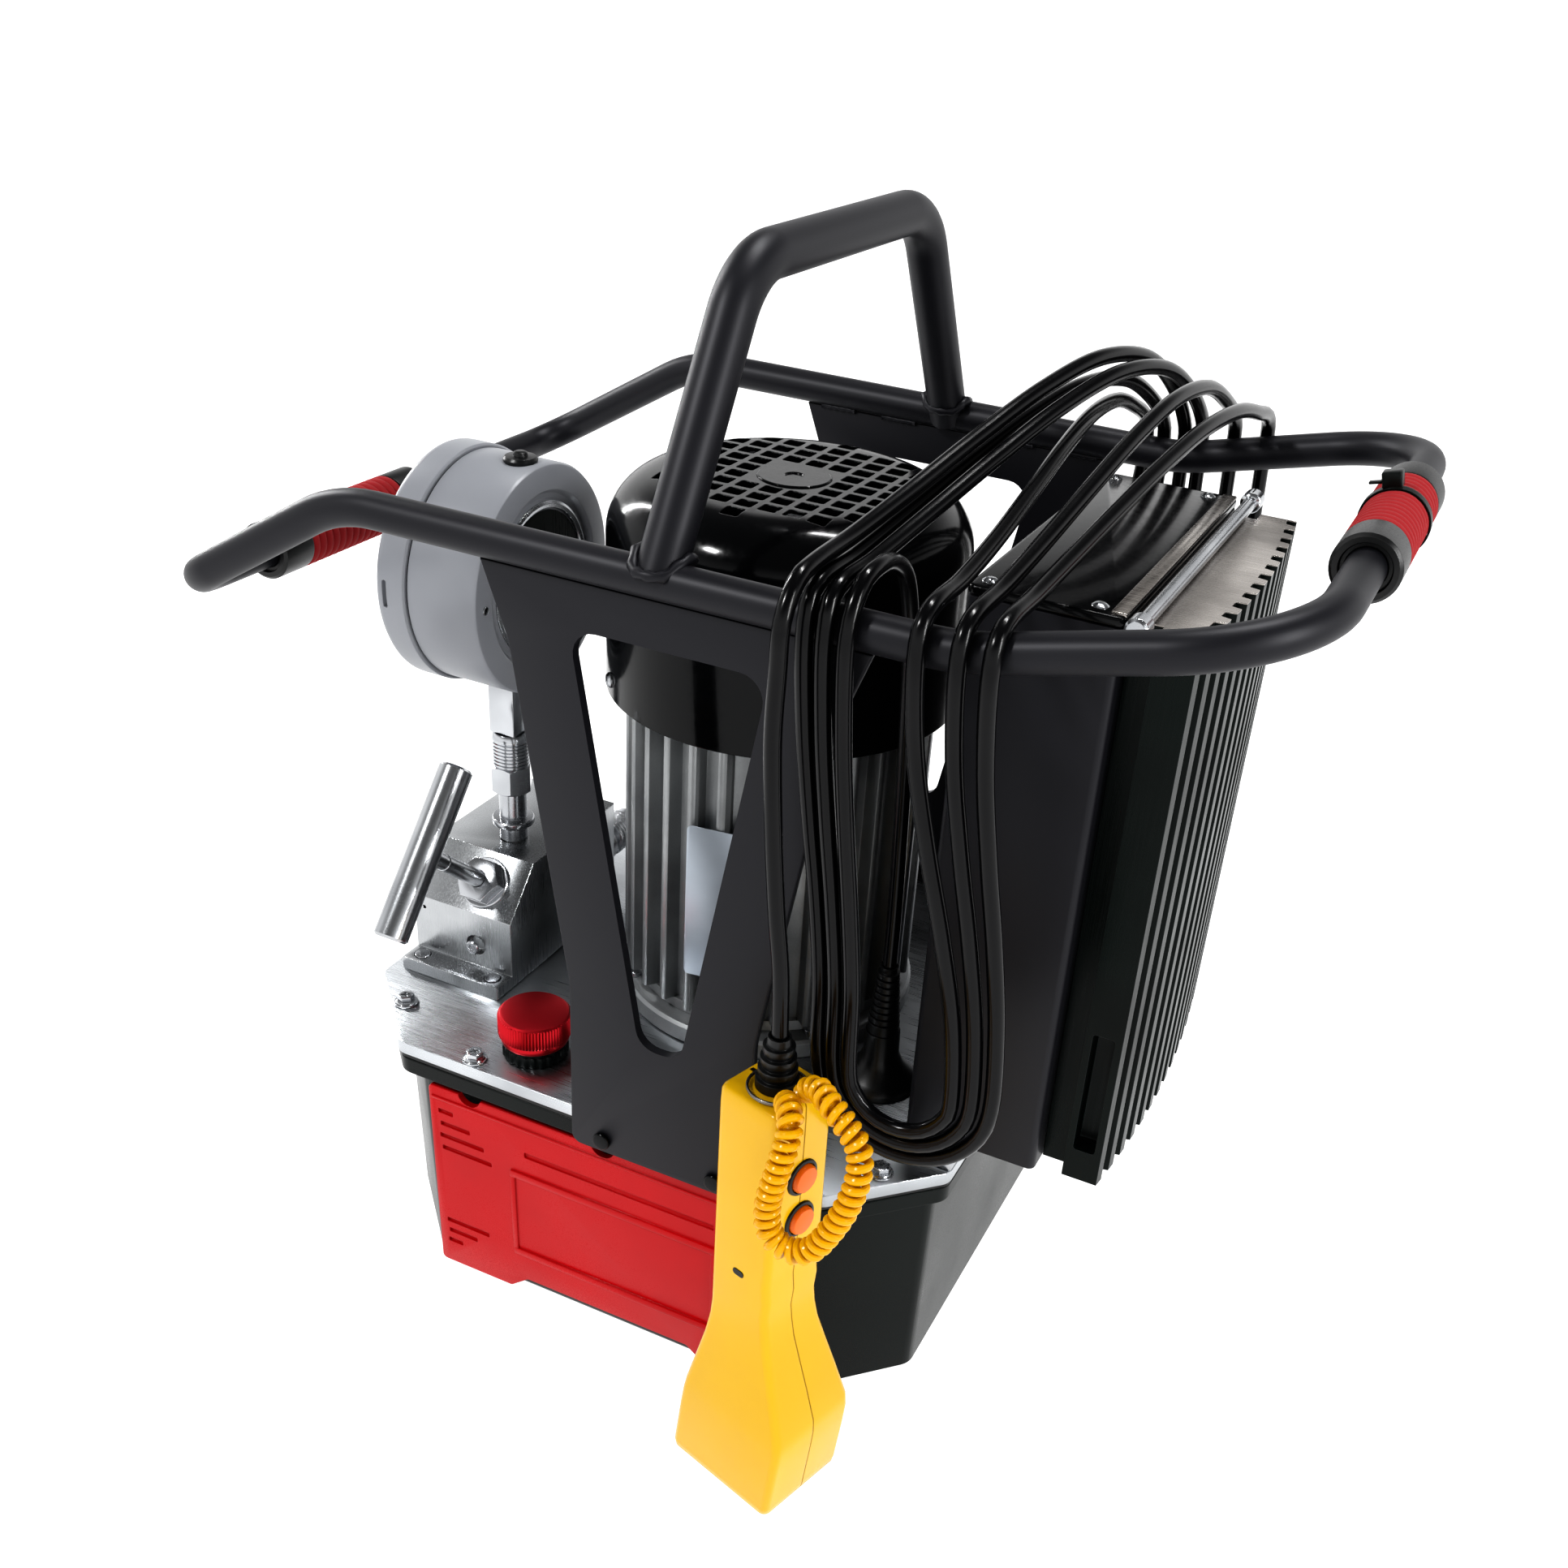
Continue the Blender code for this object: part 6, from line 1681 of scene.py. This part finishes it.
@dataclass
class ElectricalBox(Assembly):
    """Electrical box with its lid, heat sink, clamp rod and foot, and the cord's gland."""

    fins: int = 13
    fin_depth: float = 0.005
    bulge: float = 0.007
    corner: float = 0.004

    def shell(self) -> Mesh:
        """Form the sheet-metal box, open at the top."""
        low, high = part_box("electrical_box")
        outline = rounded(rectangle(low[0], high[0], low[1], high[1]), self.corner, 5)
        body = extruded(outline, low[2], high[2], bevel=0.0006)
        wall = 0.0022
        inside = rectangle(low[0] + wall, high[0] - wall, low[1] + wall, high[1] - wall)
        return carved(body, extruded(rounded(inside, 0.002, 3), low[2] + wall, high[2] + 0.01))

    def lid(self) -> Mesh:
        """Press the lid, a slab with rounded rims."""
        low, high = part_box("box_lid")
        outline = rounded(rectangle(low[0], high[0], low[1], high[1]), self.corner, 6)
        return extruded(outline, low[2], high[2], bevel=0.0014, segments=3)

    def sink_outline(self) -> Outline:
        """Return the heat sink's extrusion outline in x and y."""
        low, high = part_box("heat_sink")
        half = (high[1] - low[1]) / 2
        base, face, neck = 0.205, 0.219, 0.088
        points = []
        pitch = 2 * half / self.fins

        def bow(y: float) -> float:
            return self.bulge * (1 - (y / half) ** 2)

        for fin in range(self.fins):
            start = -half + fin * pitch
            for share, out in ((0.0, 1.0), (0.42, 1.0), (0.50, 0.0), (0.92, 0.0)):
                y = start + share * pitch
                points.append((face + bow(y) - 0.0002 + out * self.fin_depth, y))
        points.append((face + bow(half) + self.fin_depth, half))
        points += [(base, half), (base, neck), (low[0], neck), (low[0], -neck), (base, -neck), (base, -half)]
        return points

    def rod(self) -> Mesh:
        """Turn the clamp rod, with a knob at each end."""
        low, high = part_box("clamp_rod")
        x, _, z = centre_of("clamp_rod")
        half, knob, thin = (high[1] - low[1]) / 2, (high[2] - low[2]) / 2, 0.0035
        profile = [(0, -half), (knob - 0.0012, -half), (knob, -half + 0.0012), (knob, -half + 0.0098),
                   (knob - 0.0012, -half + 0.0110), (thin, -half + 0.0112)]
        profile += [(radius, -height) for radius, height in reversed(profile)]
        return turned(profile, (x, 0, z), (0, 1, 0), 40)

    def make(self) -> None:
        """Build and dress the box."""
        self.place("box_shell", self.shell(), BLACK_POWDER_COAT, ("electrical_box",))
        self.place("pressed_lid", self.lid(), BLACK_ENAMEL, ("box_lid",))
        low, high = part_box("box_lid")
        strip = block((0.1835, low[1] + 0.003, high[2] - 0.0006), (0.1908, high[1] - 0.003, high[2] + 0.0014),
                      0.0006)
        self.place("lid_edge_strip", strip, SAWN_END)
        head = [(0, 0), (0.0040, 0), (0.0040, 0.0006), (0.0024, 0.0018), (0, 0.0021)]
        screws = [turned(head, (x, y, high[2] - 0.0002), steps=24)
                  for x in (low[0] + 0.008, high[0] - 0.014) for y in (low[1] + 0.009, high[1] - 0.009)]
        self.place("lid_screws", joined(*screws), ZINC_STEEL)
        sink_low, sink_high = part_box("heat_sink")
        body = extruded(self.sink_outline(), sink_low[2] + 0.0004, sink_high[2] - 0.0004)
        window = block((0.2085, sink_low[1] - 0.01, 0.190), (0.2200, sink_low[1] + 0.012, 0.262), 0.0015)
        self.place("sink_extrusion", carved(body, window), BLACK_ANODISED, ("heat_sink",), smooth=30)
        cap = extruded(self.sink_outline(), sink_high[2] - 0.0004, sink_high[2] + 0.0001)
        self.place("sink_sawn_end", cap, SAWN_END, smooth=30)
        self.place("sink_clamp_rod", self.rod(), ZINC_STEEL, ("clamp_rod",))
        self.place("box_foot_rail", block(*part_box("box_foot"), 0.0012), ZINC_STEEL, ("box_foot",))
        self.dress(BLACK_ABS, "run_capacitor")
        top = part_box("cable_gland")[1][2]
        gland = turned([(0, 0.1628), (0.0220, 0.1628), (0.0222, 0.1650), (0.0216, 0.1668), (0.0185, 0.1700),
                        (0.0130, 0.1760), (0.0100, 0.1830), (0.0096, top), (0, top)], (*GLAND_AT, 0))
        self.place("gland_dome", gland, BLACK_RUBBER, ("cable_gland",))
        boot = ribbed_boot("gland_boot", GLAND_AT, foot=0.0090, mouth=0.0052, large=0.0088, shrink=0.0030,
                           groove=0.0016, margin=0.003, run=0.0048, ribs=9)
        self.place("gland_strain_relief", boot, BLACK_RUBBER, ("gland_boot",))


# ---------------------------------------------------------------- pendant


@dataclass
class Pendant(Assembly):
    """Yellow control pendant with two buttons and its boot."""

    place_at: tuple[float, float] = (0.0885, -0.205)
    turn: float = -17.0
    sections: tuple[tuple[float, float, float, float], ...] = (
        # back, button face, half width, height
        (0.0312, 0.0312, 0.0240, 0.0040), (0.0330, 0.0332, 0.0262, 0.0048), (0.0345, 0.0350, 0.0276, 0.0072),
        (0.0350, 0.0357, 0.0280, 0.0110), (0.0312, 0.0392, 0.0280, 0.0420), (0.0296, 0.0403, 0.0278, 0.0540),
        (0.0282, 0.0398, 0.0272, 0.0620), (0.0245, 0.0335, 0.0245, 0.0800), (0.0212, 0.0270, 0.0220, 0.0970),
        (0.0197, 0.0222, 0.0202, 0.1100), (0.0195, 0.0200, 0.0195, 0.1200), (0.0195, 0.0188, 0.0195, 0.1290),
        (0.0195, 0.0198, 0.0195, 0.1400), (0.0195, 0.0186, 0.0195, 0.1500), (0.0195, 0.0195, 0.0195, 0.1620),
        (0.0195, 0.0195, 0.0195, 0.2460), (0.0192, 0.0192, 0.0192, 0.2535), (0.0185, 0.0185, 0.0185, 0.2552),
        (0.0172, 0.0172, 0.0172, 0.2560),
    )
    buttons: tuple[tuple[str, float], ...] = (("advance", 0.212), ("retract", 0.186))
    seam: float = 0.0004
    corner: float = 0.0042

    def frame_turn(self) -> Matrix:
        """Return the transform from the pendant's own axes."""
        return Matrix.Translation((*self.place_at, 0)) @ Matrix.Rotation(math.radians(self.turn), 4, "Z")

    def half(self, front: bool) -> Mesh:
        """Mould one half of the shell.

        Args:
            front: whether it is the half on local -Y.

        Returns:
            The closed half.
        """
        whole = layered([(rounded(rectangle(-back, face, -half, half), self.corner, 6), height)
                         for back, face, half, height in self.sections])
        low, high = (-0.05, -self.seam / 2) if front else (self.seam / 2, 0.05)
        return carved(whole, block((-0.06, low, -0.01), (0.06, high, 0.30)), operation="INTERSECT")

    def make(self) -> None:
        """Build and dress the pendant."""
        move = self.frame_turn()
        for front, name in ((True, "front"), (False, "back")):
            sockets = [turned(pin(0.0079, 0.006, 0.03), (0, 0, height), (1, 0, 0), 32)
                       for _, height in self.buttons]
            shell = carved(self.half(front), *sockets)
            shell.transform(move)
            self.place(f"pendant_half_{name}", shell, YELLOW_ABS, (f"pendant_shell_{name}",), smooth=40)
        seal = layered([
            (rounded(rectangle(0.0005 - back, face - 0.0005, -0.0012, 0.0012), 0.0004, 2), height)
            for back, face, _, height in self.sections
        ])
        seal.transform(move)
        self.place("pendant_seam_seal", seal, BLACK_RUBBER)
        cap_profile = [(0, 0.0125), (0.0072, 0.0125), (0.0075, 0.0130), (0.0075, 0.0220), (0.0068, 0.0232),
                       (0.0040, 0.0236), (0, 0.0237)]
        collar_profile = [(0.0080, 0.0190), (0.0100, 0.0190), (0.0096, 0.0206), (0.0082, 0.0210)]
        for name, height in self.buttons:
            cap, collar = [turned(profile, (0, 0, height), (1, 0, 0), 40)
                           for profile in (cap_profile, collar_profile)]
            cap.transform(move)
            self.place(f"{name}_cap", cap, ORANGE_ABS, (f"button_{name}",), f"{name}_button")
            collar.transform(move)
            self.place(f"{name}_collar", collar, BLACK_RUBBER)
        bands = joined(*[block((-0.0210, -0.0120, height), (-0.0180, 0.0120, height + 0.0040), 0.0006)
                         for height in (0.1170, 0.1245, 0.1320)])
        bands.transform(move)
        self.place("pendant_grip_steps", bands, YELLOW_ABS)
        # Painted shade: the vent slot is not cut, and a thin black sheet on the shell stands for the dark
        # inside of the slot
        slot = extruded(rounded(rectangle(-0.0035, 0.0035, 0.1482, 0.1518), 0.0017), -0.0199, -0.0193, "Y")
        slot.transform(move)
        self.place("pendant_vent_slot_shade", slot, BLACK_PRINT_AND_SLOT_SHADE)
        boot_low, boot_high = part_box("pendant_boot")
        ribs = int((boot_high[2] - boot_low[2] - 0.004) / 0.0054)
        boot = ribbed_boot("pendant_boot", self.place_at, foot=0.0105, mouth=0.0055, large=0.0104,
                           shrink=0.0036,
                           groove=0.0018, margin=0.002, run=0.0046, ribs=ribs)
        self.place("pendant_strain_relief", boot, BLACK_RUBBER, ("pendant_boot",))


@dataclass
class Lanyard(Assembly):
    """Curly lanyard: a coiled polyurethane cord that hangs in a loop from a split ring.

    Attributes:
        wire: the cord's own diameter.
        coil: radius of the coil, to the middle of the cord.
        pitch: advance of each turn.
        centreline: points that the coil winds round, from ring to ring.
    """

    wire: float = 0.0040
    coil: float = 0.0044
    pitch: float = 0.0052
    ring_at: tuple[float, float, float] = (0.0905, -0.2077, 0.2570)
    ring_radius: float = 0.0145
    centreline: tuple[tuple[float, float, float], ...] = (
        (0.1002, -0.2200, 0.2608), (0.1050, -0.2275, 0.2655), (0.1110, -0.2370, 0.2640),
        (0.1120, -0.2425, 0.2550),
        (0.1105, -0.2460, 0.2430), (0.1076, -0.2480, 0.2240), (0.1101, -0.2490, 0.2090),
        (0.1192, -0.2480, 0.2020),
        (0.1300, -0.2470, 0.2060), (0.1382, -0.2450, 0.2196), (0.1441, -0.2420, 0.2350),
        (0.1462, -0.2380, 0.2490),
        (0.1434, -0.2340, 0.2610), (0.1350, -0.2310, 0.2690), (0.1250, -0.2270, 0.2740),
        (0.1150, -0.2190, 0.2730),
        (0.1050, -0.2150, 0.2640),
    )

    def winding(self) -> list[Vector]:
        """Wind the cord round its centreline, with the coil's radius falling to under a half at the ends."""
        steps = 18
        line = smooth_path(self.centreline, self.pitch / steps)
        side = Vector((0, 0, 1))
        points = []
        for index, here in enumerate(line):
            ahead = (line[min(index + 1, len(line) - 1)] - line[max(index - 1, 0)]).normalized()
            side = (side - ahead * side.dot(ahead)).normalized()
            turn = FULL_TURN * index / steps
            ends = min(index, len(line) - 1 - index) / (2.2 * steps)
            radius = self.coil * min(1.0, 0.45 + ends)
            points.append(here + radius * (side * math.cos(turn) + ahead.cross(side) * math.sin(turn)))
        return points

    def make(self) -> None:
        path = self.winding()
        lanyard = self.place("curly_lanyard", swept(path, self.wire / 2, 3), YELLOW_PU, ("pendant_lanyard",))
        steps, spots = 72, []
        for step in range(steps + 1):
            turn = FULL_TURN * 2 * step / steps
            across, along = self.ring_radius * math.cos(turn), self.ring_radius * math.sin(turn)
            spots.append(Vector(self.ring_at) + Vector((across, along, 0.0015 * step / steps)))
        self.place("split_ring", swept(spots, 0.00065, 2), SPRING_STEEL)


# ---------------------------------------------------------------- the whole


def main() -> None:
    """Build every assembly in order."""
    logging.basicConfig(level=logging.INFO, format="%(name)s: %(message)s")
    make_stage()
    kinds = (
        CarryFrame, TankAndPlate, ValveBlock, PressureGauge, Motor, ElectricalBox, ControlCord, Pendant,
        Lanyard,
    )
    for kind in kinds:
        kind().make()


if __name__ == "__main__":
    main()
